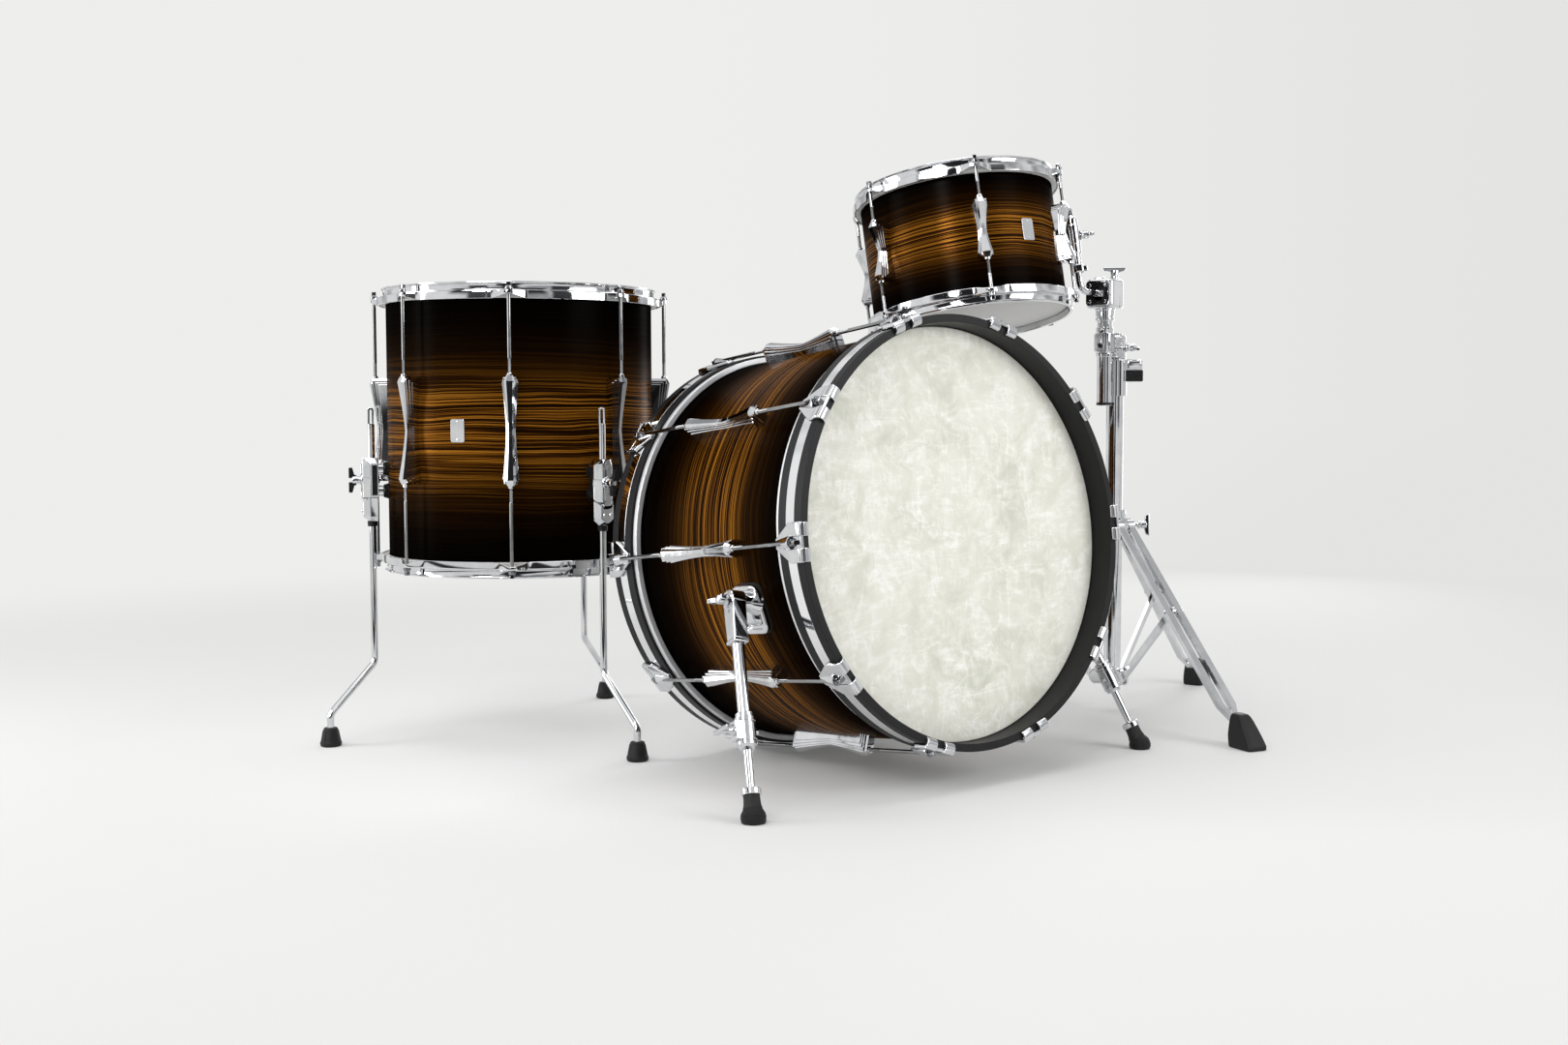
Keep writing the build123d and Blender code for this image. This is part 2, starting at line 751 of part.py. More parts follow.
def leg_bracket():
    half = leg_bracket_width / 2
    inner = floor_tom_radius + leg_bracket_inner
    outer = floor_tom_radius + leg_bracket_outer
    low = leg_bracket_bottom
    top = leg_bracket_top
    front = prism(Plane.YZ.offset(inner), mirrored([
        (half / 2, low), (half, low + leg_bracket_point), (half, top - leg_bracket_point), (half / 2, top),
    ]), outer - inner)
    plan = prism(Plane.XY.offset(low), [
        (inner, -half), (outer - leg_bracket_ridge, -half), (outer, -half / 2), (outer, half / 2),
        (outer - leg_bracket_ridge, half), (inner, half),
    ], top - low)
    body = front & plan
    for height in (low + leg_post_inset, top - leg_post_inset):
        base = Vector(floor_tom_radius - root_depth, 0, height)
        body += shaft(base, Vector(inner + cut_margin, 0, height), leg_post_radius)
    body -= Pos(leg_circle, 0, 0) * Cylinder(leg_radius + slide_play, 2 * top, align=LOW)
    wing_line = Vector(leg_circle, 0, leg_wing_height)
    body -= shaft(wing_line, Vector(outer + cut_margin, 0, leg_wing_height), wing_bolt_radius + slide_play)
    return body - Cylinder(floor_tom_radius, top, align=LOW)


def floor_leg(twist):
    splay = polar(leg_splay, twist)
    foot_x = leg_circle + splay.X
    route = FilletPolyline(
        (leg_circle, 0, leg_top - leg_tip_length), (leg_circle, 0, leg_knee),
        (foot_x, splay.Y, leg_low_bend), (foot_x, splay.Y, leg_foot_rim), radius=leg_bend_radius)
    rod = sweep(Plane(origin=route @ 0, z_dir=route % 0) * Circle(leg_radius), path=route)
    tip = Pos(leg_circle, 0, leg_top - leg_tip_length) * Cylinder(leg_tip_radius, leg_tip_length, align=LOW)
    lock = Pos(leg_circle, 0, 0) * tube(
        leg_radius, leg_lock_radius, leg_bracket_bottom - leg_lock_height, leg_bracket_bottom)
    return [rod + tip, lock], Vector(foot_x, splay.Y, 0)


def leg_rubber(centre):
    body = turned([
        (0, 0), (leg_foot_radius - leg_foot_base_inset, 0), (leg_foot_radius, leg_foot_rim),
        (leg_foot_neck, leg_foot_height), (leg_radius, leg_foot_height), (leg_radius, leg_foot_rim),
        (0, leg_foot_rim),
    ])
    return Pos(*centre) * body


floor_axis = Pos(floor_tom_x, floor_tom_y, 0)
save("floor_tom_leg_brackets", *[floor_axis * made for made in around(leg_bracket(), leg_angles.values())])
for name, angle in leg_angles.items():
    turn = floor_axis * Rot(0, 0, angle)
    rod_pieces, foot_centre = floor_leg(leg_twists[name])
    wing_line = bolt_place(
        Vector(leg_wing_tip, 0, leg_wing_height), Vector(1, 0, 0), leg_wing_shank, Vector(0, 0, 1))
    save("floor_tom_leg_" + name, *[turn * piece for piece in rod_pieces])
    save("floor_tom_foot_" + name, turn * leg_rubber(foot_centre))
    save("floor_tom_wing_" + name, turn * wing_line * wing_bolt(leg_wing_shank))

# Stand: the tripod folds about pins at the same distance from the tube
stand_place = Pos(stand_x, stand_y, 0)
stand_angles = {
    "front": stand_first_leg_angle,
    "right": stand_first_leg_angle + 120.0,
    "back": stand_first_leg_angle + 240.0,
}
leg_pivot = Vector(pivot_radius, 0, leg_pivot_height)
leg_end = Vector(stand_foot_radius - stand_leg_end_height / 2, 0, stand_leg_end_height)
stand_leg_length = (leg_end - leg_pivot).length
stand_leg_heading = (leg_end - leg_pivot).normalized()
leg_spread = degrees(atan2(stand_leg_heading.X, -stand_leg_heading.Z))
# The brace and the leg above it are two equal sides of a triangle on the tube.
brace_length = (leg_pivot_height - brace_pivot_height) / 2 / cos(radians(leg_spread))
brace_pivot = Vector(pivot_radius, 0, brace_pivot_height)
brace_heading = Vector(stand_leg_heading.X, 0, -stand_leg_heading.Z)
leg_normal = Vector(-stand_leg_heading.Z, 0, stand_leg_heading.X)
leg_plane = Plane(origin=leg_pivot, x_dir=stand_leg_heading, z_dir=leg_normal)
stand_wing_angle = stand_first_leg_angle + 60.0
stand_wing_height = leg_pivot_height
stand_wing_tip = base_tube_radius + side_play
stand_wing_boss = leg_collar_radius + wing_boss_height
stand_wing_shank = stand_wing_boss + stand_wing_reach - stand_wing_tip


def across(place, radius, width):
    # A pin along the tangent, centred on a point of the leg's own plane
    return Pos(*place) * Rot(90, 0, 0) * Cylinder(radius, width)


def stand_leg():
    half = stand_leg_width / 2
    gap = stand_leg_gap / 2
    tongue = stand_leg_tongue / 2
    neck = stand_leg_length - stand_leg_tongue_length
    straight = neck - stand_leg_taper
    outline = mirrored([
        (half, 0), (half, straight), (tongue, neck), (tongue, stand_leg_length),
    ])
    slot = mirrored([
        (gap, -2 * stand_leg_head), (gap, straight), (stand_leg_slot_end / 2, neck - stand_leg_head),
    ])
    flat = leg_plane.offset(-stand_leg_depth / 2)
    body = prism(flat, [(s, t) for t, s in outline], stand_leg_depth)
    body -= prism(flat, [(s, t) for t, s in slot], stand_leg_depth)
    head = across(leg_pivot, stand_leg_head, stand_leg_width) - across(
        leg_pivot, stand_leg_head + cut_margin, stand_leg_gap)
    rivet_centre = leg_pivot + stand_leg_heading * brace_length
    rivet = across(rivet_centre, pivot_pin_radius, stand_leg_width + 2 * rivet_stand_out)
    rivet -= across(rivet_centre, pivot_pin_radius + cut_margin, stand_leg_width - 2 * rivet_depth)
    return body + head + across(leg_pivot, pivot_pin_radius, stand_leg_width) + rivet


def stand_brace():
    middle = brace_pivot + brace_heading * (brace_length / 2)
    side = Plane(origin=middle, x_dir=brace_heading, z_dir=(0, 1, 0))
    bar = extrude(side * SlotCenterToCenter(brace_length, brace_width), amount=brace_thickness / 2, both=True)
    bar -= across(brace_pivot, pivot_pin_radius + pin_play, 2 * brace_thickness)
    far = brace_pivot + brace_heading * brace_length
    return bar - across(far, pivot_pin_radius, 2 * brace_thickness)


def stand_boot():
    toe = stand_foot_radius + boot_length / 2
    heel = toe - boot_length
    side = prism(Plane.XZ, [
        (heel, 0), (toe, 0), (toe, boot_sole), (heel + boot_top_length, boot_height),
        (heel - boot_overhang, boot_height), (heel - boot_overhang, boot_heel),
    ], boot_width / 2, both=True)
    front = prism(Plane.YZ.offset(heel - boot_heel), mirrored([
        (boot_width / 2, 0), (boot_width / 2, boot_sole), (boot_top_width / 2, boot_height),
    ]), boot_length + 2 * boot_heel)
    return side & front


def leg_collar():
    body = tube(base_tube_radius + slide_play, leg_collar_radius, leg_collar_bottom, leg_collar_top)
    ear_half = stand_leg_gap / 2 - side_play
    ear_top = leg_pivot_height + collar_ear_height / 2
    ear_low = leg_pivot_height - collar_ear_height / 2
    ear_end = pivot_radius + collar_ear_reach
    ear_root = base_tube_radius + root_depth
    ear = prism(Plane.XZ, [
        (ear_root, ear_low), (ear_end - collar_ear_chamfer, ear_low), (ear_end, ear_low + collar_ear_chamfer),
        (ear_end, ear_top - collar_ear_chamfer), (ear_end - collar_ear_chamfer, ear_top), (ear_root, ear_top),
    ], ear_half, both=True)
    ear -= across(leg_pivot, pivot_pin_radius + pin_play, stand_leg_width)
    boss = Rot(0, 0, stand_wing_angle) * shaft(
        Vector(ear_root, 0, stand_wing_height), Vector(stand_wing_boss, 0, stand_wing_height),
        wing_boss_radius)
    hole = Rot(0, 0, stand_wing_angle) * shaft(
        Vector(0, 0, stand_wing_height), Vector(2 * stand_wing_boss, 0, stand_wing_height),
        wing_bolt_radius + slide_play)
    return body + around(ear, stand_angles.values()) + boss - hole


def stand_base():
    low = brace_pivot_height - brace_collar_height / 2
    body = tube(base_tube_radius - base_tube_wall, base_tube_radius, base_tube_bottom, base_tube_top)
    high = low + brace_collar_height
    root = base_tube_radius - cut_margin
    end = pivot_radius + collar_ear_reach
    body += tube(root, brace_collar_radius, low, high)
    slit = brace_thickness / 2 + side_play
    outer = slit + brace_cheek
    for angle in stand_angles.values():
        cheeks = prism(Plane.XZ, [
            (root, low), (end - collar_ear_chamfer, low), (end, low + collar_ear_chamfer),
            (end, high - collar_ear_chamfer), (end - collar_ear_chamfer, high), (root, high),
        ], outer, both=True)
        room = Pos(brace_collar_radius, 0, brace_pivot_height) * Box(
            2 * end, 2 * slit, 2 * brace_collar_height, align=(Align.MIN, Align.CENTER, Align.CENTER))
        body += Rot(0, 0, angle) * (cheeks - room + across(brace_pivot, pivot_pin_radius, 2 * outer))
    return body


save("stand_base", stand_place * stand_base())
save("stand_leg_collar", stand_place * leg_collar())
stand_wing_line = Rot(0, 0, stand_wing_angle) * bolt_place(
    Vector(stand_wing_tip, 0, stand_wing_height), Vector(1, 0, 0), stand_wing_shank, Vector(0, 0, 1))
save("stand_leg_wing", stand_place * stand_wing_line * wing_bolt(stand_wing_shank))
one_leg = stand_leg()
one_boot = stand_boot() - one_leg
for name, angle in stand_angles.items():
    turn = stand_place * Rot(0, 0, angle)
    save("stand_leg_" + name, turn * one_leg)
    save("stand_boot_" + name, turn * one_boot)
    save("stand_brace_" + name, turn * stand_brace())

# Upper part of the stand: tube, side clamp, post, ball holder
post_place = stand_place * Pos(*polar(post_offset, post_heading))
holder_centre = post_place.position + Vector(0, 0, holder_height)
clamp_tube_side = upper_tube_radius + clamp_wall
clamp_middle = (clamp_top + clamp_bottom) / 2
clamp_turn = Rot(0, 0, post_heading)
clamp_wing_turn = clamp_turn * Rot(0, 0, clamp_wing_angle)
clamp_wing_tip = Vector(upper_tube_radius + side_play, 0, clamp_middle)
clamp_wing_shank = clamp_wall + wing_clearance - side_play
holder_wing_place = polar(holder_wing_offset, holder_wing_angle, holder_wing_depth)
holder_wing_shank = holder_tall / 2 + wing_clearance - holder_wing_depth


def height_collar():
    body = Pos(0, 0, height_collar_bottom) * Cylinder(
        height_collar_radius, height_collar_height, align=LOW)
    ear = Box(height_ear_reach, height_ear_width, height_ear_height,
              align=(Align.MIN, Align.CENTER, Align.MIN))
    body += Rot(0, 0, height_ear_angle) * Pos(0, 0, height_ear_bottom) * ear
    body -= Cylinder(upper_tube_radius + slide_play, 2 * height_collar_top, align=LOW)
    return body - Cylinder(base_tube_radius, base_tube_top, align=LOW)


def side_clamp():
    block = Cylinder(clamp_tube_side, clamp_height, align=LOW)
    block += Box(post_offset, 2 * clamp_tube_side, clamp_height, align=(Align.MIN, Align.CENTER, Align.MIN))
    grip = Pos(post_offset, 0, grip_bottom) * Cylinder(post_radius + grip_wall, grip_height, align=LOW)
    body = clamp_turn * (Pos(0, 0, clamp_bottom) * block + grip)
    body -= Cylinder(upper_tube_radius + slide_play, 2 * grip_top, align=LOW)
    body -= clamp_turn * Pos(post_offset, 0, 0) * Cylinder(post_radius + slide_play, 2 * grip_top, align=LOW)
    wing_end = Vector(2 * clamp_tube_side, 0, clamp_middle)
    return body - clamp_wing_turn * shaft(Vector(0, 0, clamp_middle), wing_end, wing_bolt_radius + slide_play)


def ball_holder():
    block = Box(holder_width, holder_width, holder_tall)
    body = Rot(0, 0, holder_turn) * fillet(block.edges().filter_by(Axis.Z), holder_corner)
    neck = Cylinder(holder_neck_radius, holder_neck_height, align=(Align.CENTER, Align.CENTER, Align.MAX))
    body += Pos(0, 0, -holder_tall / 2) * neck
    body -= Pos(0, 0, -holder_height) * Cylinder(post_radius, post_top, align=LOW)
    body -= Sphere(ball_radius + ball_play)
    body -= shaft(Vector(0, 0, 0), arm_heading * -holder_width, holder_mouth)
    return body - Pos(*holder_wing_place) * Cylinder(wing_bolt_radius + slide_play, holder_tall, align=LOW)


# The rack tom leans back, and the arm runs down its sleeve and across into the ball holder.
rack_up = Vector(0, sin(radians(rack_tom_tilt)), cos(radians(rack_tom_tilt)))
rack_centre = Vector(rack_tom_x, rack_tom_y, rack_tom_height)
rack_place = Plane(origin=rack_centre, x_dir=(1, 0, 0), z_dir=rack_up).location
sleeve_angle = rack_tom_badge_angle + mount_angle
sleeve_centre = polar(rack_tom_radius + mount_offset, sleeve_angle)


def on_sleeve(height):
    return (rack_place * Pos(*(sleeve_centre + Vector(0, 0, height)))).position


arm_corner = on_sleeve(arm_bend)
arm_heading = (holder_centre - arm_corner).normalized()

save("stand_height_collar", stand_place * height_collar())
save("stand_upper_tube", stand_place * tube(
    upper_tube_radius - upper_tube_wall, upper_tube_radius, upper_tube_bottom, upper_tube_top))
save("stand_side_clamp", stand_place * side_clamp())
save("stand_clamp_wing", stand_place * clamp_wing_turn * bolt_place(
    clamp_wing_tip, Vector(1, 0, 0), clamp_wing_shank, Vector(0, 1, 0)) * wing_bolt(clamp_wing_shank))
save("stand_post", post_place * tube(post_radius - post_wall, post_radius, post_bottom, post_top))
save("stand_ball_holder", Pos(*holder_centre) * ball_holder())
save("stand_ball_wing", bolt_place(
    holder_centre + holder_wing_place, Vector(0, 0, 1), holder_wing_shank, polar(1, holder_wing_angle))
     * wing_bolt(holder_wing_shank))

# Rack tom, hung from the arm by its sleeve
rack_pieces = tom_pieces(rack_tom_radius, rack_tom_depth, rack_tom_lug_count,
                         rack_tom_badge_angle, rack_lug_length)
for name, pieces in rack_pieces.items():
    save("rack_tom_" + name, *[rack_place * piece for piece in pieces])
mount_wing_tip = Vector(rack_tom_radius + mount_offset + arm_radius + side_play, 0, mount_wing_height)
mount_wing_shank = mount_sleeve_radius - arm_radius - side_play + wing_clearance


def rack_mount():
    sleeve_x = rack_tom_radius + mount_offset
    low = mount_sleeve_bottom
    tall = mount_sleeve_length
    plate = extrude(Plane.YZ.offset(rack_tom_radius - root_depth)
                    * RectangleRounded(mount_plate_width, mount_plate_height, mount_plate_corner),
                    amount=root_depth + mount_plate_thickness, taper=mount_plate_taper)
    web = Pos(rack_tom_radius, 0, low) * Box(
        mount_offset, mount_web_width, tall, align=(Align.MIN, Align.CENTER, Align.MIN))
    body = plate + web + Pos(sleeve_x, 0, low) * Cylinder(mount_sleeve_radius, tall, align=LOW)
    body += Pos(sleeve_x, 0, mount_neck_bottom) * Cylinder(mount_neck_radius, tall, align=LOW)
    body -= Pos(sleeve_x, 0, 0) * Cylinder(arm_radius + slide_play, 2 * tall)
    wing_end = Vector(sleeve_x + mount_sleeve_radius + cut_margin, 0, mount_wing_height)
    body -= shaft(Vector(sleeve_x, 0, mount_wing_height), wing_end, wing_bolt_radius + slide_play)
    return Rot(0, 0, sleeve_angle) * (body - Cylinder(rack_tom_radius, 2 * mount_plate_height))


def tom_arm():
    route = FilletPolyline(on_sleeve(arm_tip_start), arm_corner, holder_centre, radius=arm_bend_radius)
    rod = sweep(Plane(origin=route @ 0, z_dir=route % 0) * Circle(arm_radius), path=route)
    rod += shaft(on_sleeve(arm_tip_start), on_sleeve(arm_top), arm_tip_radius)
    lock_low = on_sleeve(mount_neck_bottom - arm_lock_height)
    lock = shaft(lock_low, on_sleeve(mount_neck_bottom), arm_lock_radius)
    lock -= shaft(on_sleeve(arm_bend), on_sleeve(arm_top), arm_radius)
    return [rod + Pos(*holder_centre) * Sphere(ball_radius), lock]


save("rack_tom_mount", rack_place * rack_mount())
save("rack_tom_mount_wing", rack_place * Rot(0, 0, sleeve_angle) * bolt_place(
    mount_wing_tip, Vector(1, 0, 0), mount_wing_shank, Vector(0, 1, 0)) * wing_bolt(mount_wing_shank))
save("rack_tom_arm", *tom_arm())
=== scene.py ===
import json
from math import cos, pi, radians, sin, tan

import bmesh
import bpy
from mathutils import Matrix, Vector


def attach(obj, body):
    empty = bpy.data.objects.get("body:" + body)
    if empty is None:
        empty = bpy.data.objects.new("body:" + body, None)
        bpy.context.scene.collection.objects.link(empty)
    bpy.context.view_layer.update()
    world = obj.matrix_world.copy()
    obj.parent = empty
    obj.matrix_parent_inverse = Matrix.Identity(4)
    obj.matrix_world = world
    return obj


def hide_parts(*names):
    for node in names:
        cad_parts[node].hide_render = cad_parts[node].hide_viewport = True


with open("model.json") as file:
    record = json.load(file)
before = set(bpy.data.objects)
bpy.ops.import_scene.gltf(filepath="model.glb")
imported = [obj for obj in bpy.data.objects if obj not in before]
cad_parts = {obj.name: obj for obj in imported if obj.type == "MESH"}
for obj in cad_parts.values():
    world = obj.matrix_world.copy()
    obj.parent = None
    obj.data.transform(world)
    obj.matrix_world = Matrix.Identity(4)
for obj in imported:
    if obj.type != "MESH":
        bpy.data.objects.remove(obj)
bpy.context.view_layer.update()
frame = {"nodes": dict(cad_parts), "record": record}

# An acoustic drum kit: bass drum on spurs, floor tom on legs, rack tom on a tripod stand.
# Shapes are made in millimetres, in the frame of the CAD model, and scaled to metres last.
MM = 0.001

# Sizes shared with the solids
SHELL_WALL = 7.0
BASS_RADIUS = 279.4
BASS_DEPTH = 355.6
BASS_TILT = 6.7
BASS_FRONT = Vector((-184.0, -411.0, 0.0))
BASS_HOOP_RADIUS = 292.0
BASS_HOOP_WIDTH = 46.0
BASS_OVERHANG = 35.0
BASS_HALF = BASS_DEPTH / 2 + BASS_OVERHANG
FLOOR_TOM = Vector((-451.0, 309.0, 473.0))
FLOOR_RADIUS = 203.2
FLOOR_DEPTH = 406.4
FLOOR_BADGE = -146.5
RACK_TOM = Vector((136.0, -70.6, 747.0))
RACK_RADIUS = 152.4
RACK_DEPTH = 203.2
RACK_BADGE = -94.0
RACK_TILT = 10.9
STAND = Vector((395.0, -166.0, 0.0))
FILM_PLAY = 0.6
FILM = 0.6
RING_HEIGHT = 9.0
RING_WIDTH = 8.4
ROD_RADIUS = 2.8
ROD_OFFSET = 19.5
ROD_GRIP = 22.0
LUG_LENGTH = 158.0
RACK_LUG_LENGTH = 92.0
FERRULE_HEIGHT = 4.0
HOOP_STEP = 1.5
CLAW_SLOT = 15.0
BASS_LUGS = 10
FLOOR_LUGS = 8
RACK_LUGS = 6
# Rest of a foot above the floor, so that no face lies in it
FLOOR_GAP = 0.2
# Angles past which an edge stays sharp
CREASE = 32.0
LUG_CREASE = 14.0


def frame_at(origin, x_axis, z_axis):
    """The place of a local frame from its origin and two of its directions."""
    z = Vector(z_axis).normalized()
    x = Vector(x_axis)
    x = (x - z * x.dot(z)).normalized()
    place = Matrix((x, z.cross(x), z)).transposed().to_4x4()
    place.translation = origin
    return place


def turned(angle):
    return Matrix.Rotation(radians(angle), 4, "Z")


def shifted(x, y, z):
    return Matrix.Translation((x, y, z))


bass_axis = Vector((0, -cos(radians(BASS_TILT)), sin(radians(BASS_TILT))))
bass_lift = 2 * BASS_HALF * sin(radians(BASS_TILT)) + BASS_HOOP_RADIUS * cos(radians(BASS_TILT))
BASS_PLACE = frame_at(BASS_FRONT + Vector((0, 0, bass_lift)) - bass_axis * BASS_HALF, (1, 0, 0), bass_axis)
FLOOR_PLACE = shifted(*FLOOR_TOM)
RACK_PLACE = frame_at(RACK_TOM, (1, 0, 0), (0, sin(radians(RACK_TILT)), cos(radians(RACK_TILT))))
STAND_PLACE = shifted(*STAND)


class Wire:
    """A node's output that takes part in Python sums; each sum adds a Math node."""

    def __init__(self, graph, socket):
        self.graph = graph
        self.socket = socket

    def out(self, name):
        return Wire(self.graph, self.socket.node.outputs[name])

    def math(self, operation, *values):
        return self.graph.node("ShaderNodeMath", {"operation": operation}, dict(enumerate(values)))

    def __add__(self, other):
        return self.math("ADD", self, other)

    def __sub__(self, other):
        return self.math("SUBTRACT", self, other)

    def __rsub__(self, other):
        return self.math("SUBTRACT", other, self)

    def __mul__(self, other):
        return self.math("MULTIPLY", self, other)

    def __truediv__(self, other):
        return self.math("DIVIDE", self, other)

    def __abs__(self):
        return self.math("ABSOLUTE", self)

    def between(self, low, high):
        """0 below low, 1 above high, and smooth from one to the other."""
        return self.graph.node(
            "ShaderNodeMapRange", {"interpolation_type": "SMOOTHSTEP"},
            {"Value": self, "From Min": low, "From Max": high})


class Graph:
    """A node tree with one way of adding any node."""

    def __init__(self, tree):
        self.tree = tree

    def node(self, kind, settings=None, inputs=None, out=0):
        made = self.tree.nodes.new(kind)
        for name, value in (settings or {}).items():
            if name == "stops":
                self.set_stops(made.color_ramp.elements, value)
            else:
                setattr(made, name, value)
        for name, value in (inputs or {}).items():
            if isinstance(value, Wire):
                self.tree.links.new(value.socket, made.inputs[name])
            else:
                made.inputs[name].default_value = value
        return Wire(self, made.outputs[out]) if len(made.outputs) else made

    def set_stops(self, elements, stops):
        elements[0].position, elements[0].color = stops[0]
        elements[1].position, elements[1].color = stops[-1]
        for position, colour in stops[1:-1]:
            elements.new(position).color = colour

    def noise(self, vector, scale, detail=2.0, roughness=0.5, distortion=0.0):
        return self.node("ShaderNodeTexNoise", inputs={
            "Vector": vector, "Scale": scale, "Detail": detail, "Roughness": roughness,
            "Distortion": distortion})

    def layer(self, scale, detail, roughness=0.5):
        """Noise on the object, with three scales where it is drawn out along an axis."""
        scales = scale if isinstance(scale, tuple) else (scale, scale, scale)
        return self.noise(self.vector("MULTIPLY", self.place(), scales), 1.0, detail, roughness)

    def ramp(self, value, *stops):
        return self.node("ShaderNodeValToRGB", {"stops": stops}, {"Fac": value})

    def blend(self, share, first, second):
        return self.node("ShaderNodeMix", {"data_type": "RGBA"}, {0: share, 6: first, 7: second}, out=2)

    def vector(self, operation, first, second, out="Vector"):
        return self.node("ShaderNodeVectorMath", {"operation": operation}, {0: first, 1: second}, out=out)

    def triple(self, x, y, z):
        return self.node("ShaderNodeCombineXYZ", inputs={"X": x, "Y": y, "Z": z})

    def place(self):
        return self.node("ShaderNodeTexCoord", out="Object")

    def bump(self, height, strength, distance):
        return self.node("ShaderNodeBump", inputs={
            "Height": height, "Strength": strength, "Distance": distance}, out="Normal")


def rgb(red, green, blue):
    return (red, green, blue, 1.0)


def new_finish(name):
    """A material with an empty tree, and the graph to fill it."""
    material = bpy.data.materials.new(name)
    material.use_nodes = True
    material.node_tree.nodes.clear()
    return material, Graph(material.node_tree)


def surface(graph, **inputs):
    """Closes a finish with one Principled shader, its sockets named with _ for a space."""
    named = {name.replace("_", " "): value for name, value in inputs.items()}
    shader = graph.node("ShaderNodeBsdfPrincipled", inputs=named)
    graph.node("ShaderNodeOutputMaterial", inputs={"Surface": shader})


def plain_finish(name, tones, noises, roughness, relief=None, spread=(0.0, 1.0), **constants):
    """A finish from noise layers: the first blends two tones and one may stand in relief.

    Roughness is a base and the shares of the layers that vary it; relief is a layer's number,
    its strength and its depth.
    """
    material, graph = new_finish(name)
    layers = [graph.layer(*noise) for noise in noises]
    base, first_share, *shares = roughness
    gloss = layers[0] * first_share + base
    for layer, share in zip(layers[1:], shares):
        gloss = gloss + layer * share
    if relief:
        number, strength, depth = relief
        constants["Normal"] = graph.bump(layers[number], strength, depth)
    share = layers[0] if spread == (0.0, 1.0) else layers[0].between(*spread)
    surface(graph, Base_Color=graph.blend(share, *tones), Roughness=gloss, **constants)
    return material


# Stretch and scale of each layer of strands in the fibre film
STRANDS = (((1.0, 1.0, 0.25), 22.0), ((0.3, 1.0, 1.0), 19.0),
           ((0.7, 1.0, 0.4), 32.0), ((0.2, 1.0, 0.6), 52.0))


def fibre_film_finish():
    """Cream film with a mottle of pale and grey-green clouds and matted fibres."""
    material, graph = new_finish("fibre_film")
    spot = graph.place()
    cloud = graph.noise(spot, 8.0, 6.0, 0.62, 0.4)
    patch = graph.noise(spot, 24.0, 6.0, 0.62, 0.8)
    speck = graph.noise(spot, 190.0, 4.0, 0.7)
    fibres = []
    for stretch, scale in STRANDS:
        strand = graph.noise(graph.vector("MULTIPLY", spot, stretch), scale, 3.0, 0.55, 1.6)
        fibres.append(1 - abs(strand - 0.5).between(0.0, 0.04))
    matted = sum(fibres[1:], fibres[0]) * patch.between(0.36, 0.58)
    tone = graph.ramp(cloud * 0.5 + patch * 0.4 + speck * 0.1,
                      (0.36, rgb(0.62, 0.63, 0.54)), (0.46, rgb(0.74, 0.74, 0.65)),
                      (0.54, rgb(0.80, 0.80, 0.715)), (0.66, rgb(0.84, 0.84, 0.765)))
    tone = graph.blend(matted * 0.4, tone, rgb(0.95, 0.95, 0.90))
    surface(graph, Base_Color=tone, Roughness=patch * 0.2 + 0.42,
            Normal=graph.bump(speck + matted * 0.3, 0.12, 0.0006))
    return material


# Share of the way from the middle of a shell to its edge, and the glow left there
FADE = ((0.20, 1.0), (0.34, 0.5), (0.46, 0.2), (0.60, 0.065), (0.76, 0.018), (0.95, 0.005))


def veneer_finish(name, place, depth, shift, strength, lead):
    """Amber veneer with grain round the shell, fading to near-black at both ends.

    Shift picks the figure, strength is the glow at the middle, and lead moves that middle along.
    """
    material, graph = new_finish(name)
    spot = graph.vector("SUBTRACT", graph.place(), place.translation * MM)
    side, front, along = [
        graph.vector("DOT_PRODUCT", spot, place.col[axis].to_3d(), "Value") for axis in range(3)]
    drift = graph.noise(graph.triple(side * 5.0, front * 5.0, along * 9.0 + shift), 1.0, 2.0) - 0.5
    level = along + drift * 0.018

    def streaks(round_scale, along_scale, detail):
        grain_place = graph.triple(side * round_scale, front * round_scale, level * along_scale + shift)
        return graph.noise(grain_place, 1.0, detail, 0.6)

    broad = streaks(2.0, 40.0, 2.0)
    lines = streaks(2.2, 640.0, 1.0)
    fine = streaks(4.5, 1500.0, 1.0)
    pores = streaks(45.0, 2600.0, 1.0)
    grain = (lines * 0.57 + fine * 0.31 + broad * 0.12 - 0.53) * 1.4 + 0.535
    amber = graph.ramp(
        grain, (0.43, rgb(0.010, 0.0035, 0.0008)), (0.49, rgb(0.055, 0.018, 0.0018)),
        (0.54, rgb(0.17, 0.058, 0.0045)), (0.62, rgb(0.44, 0.172, 0.016)))
    reach = abs(along - lead * MM) / (depth / 2 * MM) + (broad - 0.5) * 0.07
    amber = graph.blend(reach.between(0.2, 0.6) * 0.7, amber, rgb(0.115, 0.040, 0.0034))
    glow = graph.ramp(reach, *[(stop, rgb(left, left, left)) for stop, left in FADE])
    tone = graph.node("ShaderNodeMix", {"data_type": "RGBA", "blend_type": "MULTIPLY"},
                      {0: 1.0, 6: amber, 7: graph.blend(strength, rgb(0.0, 0.0, 0.0), glow)}, out=2)
    tone = graph.blend(pores.between(0.62, 0.75) * 0.35, tone, rgb(0.002, 0.001, 0.0005))
    surface(graph, Base_Color=tone, Metallic=(1 - reach.between(0.1, 0.7)) * 0.2, Roughness=fine * 0.1 + 0.22,
            Specular_IOR_Level=0.0, Coat_Weight=fine * 0.02 + 0.008, Coat_Roughness=0.24,
            Normal=graph.bump(lines + fine * 0.6, 0.04, 0.0004))
    return material


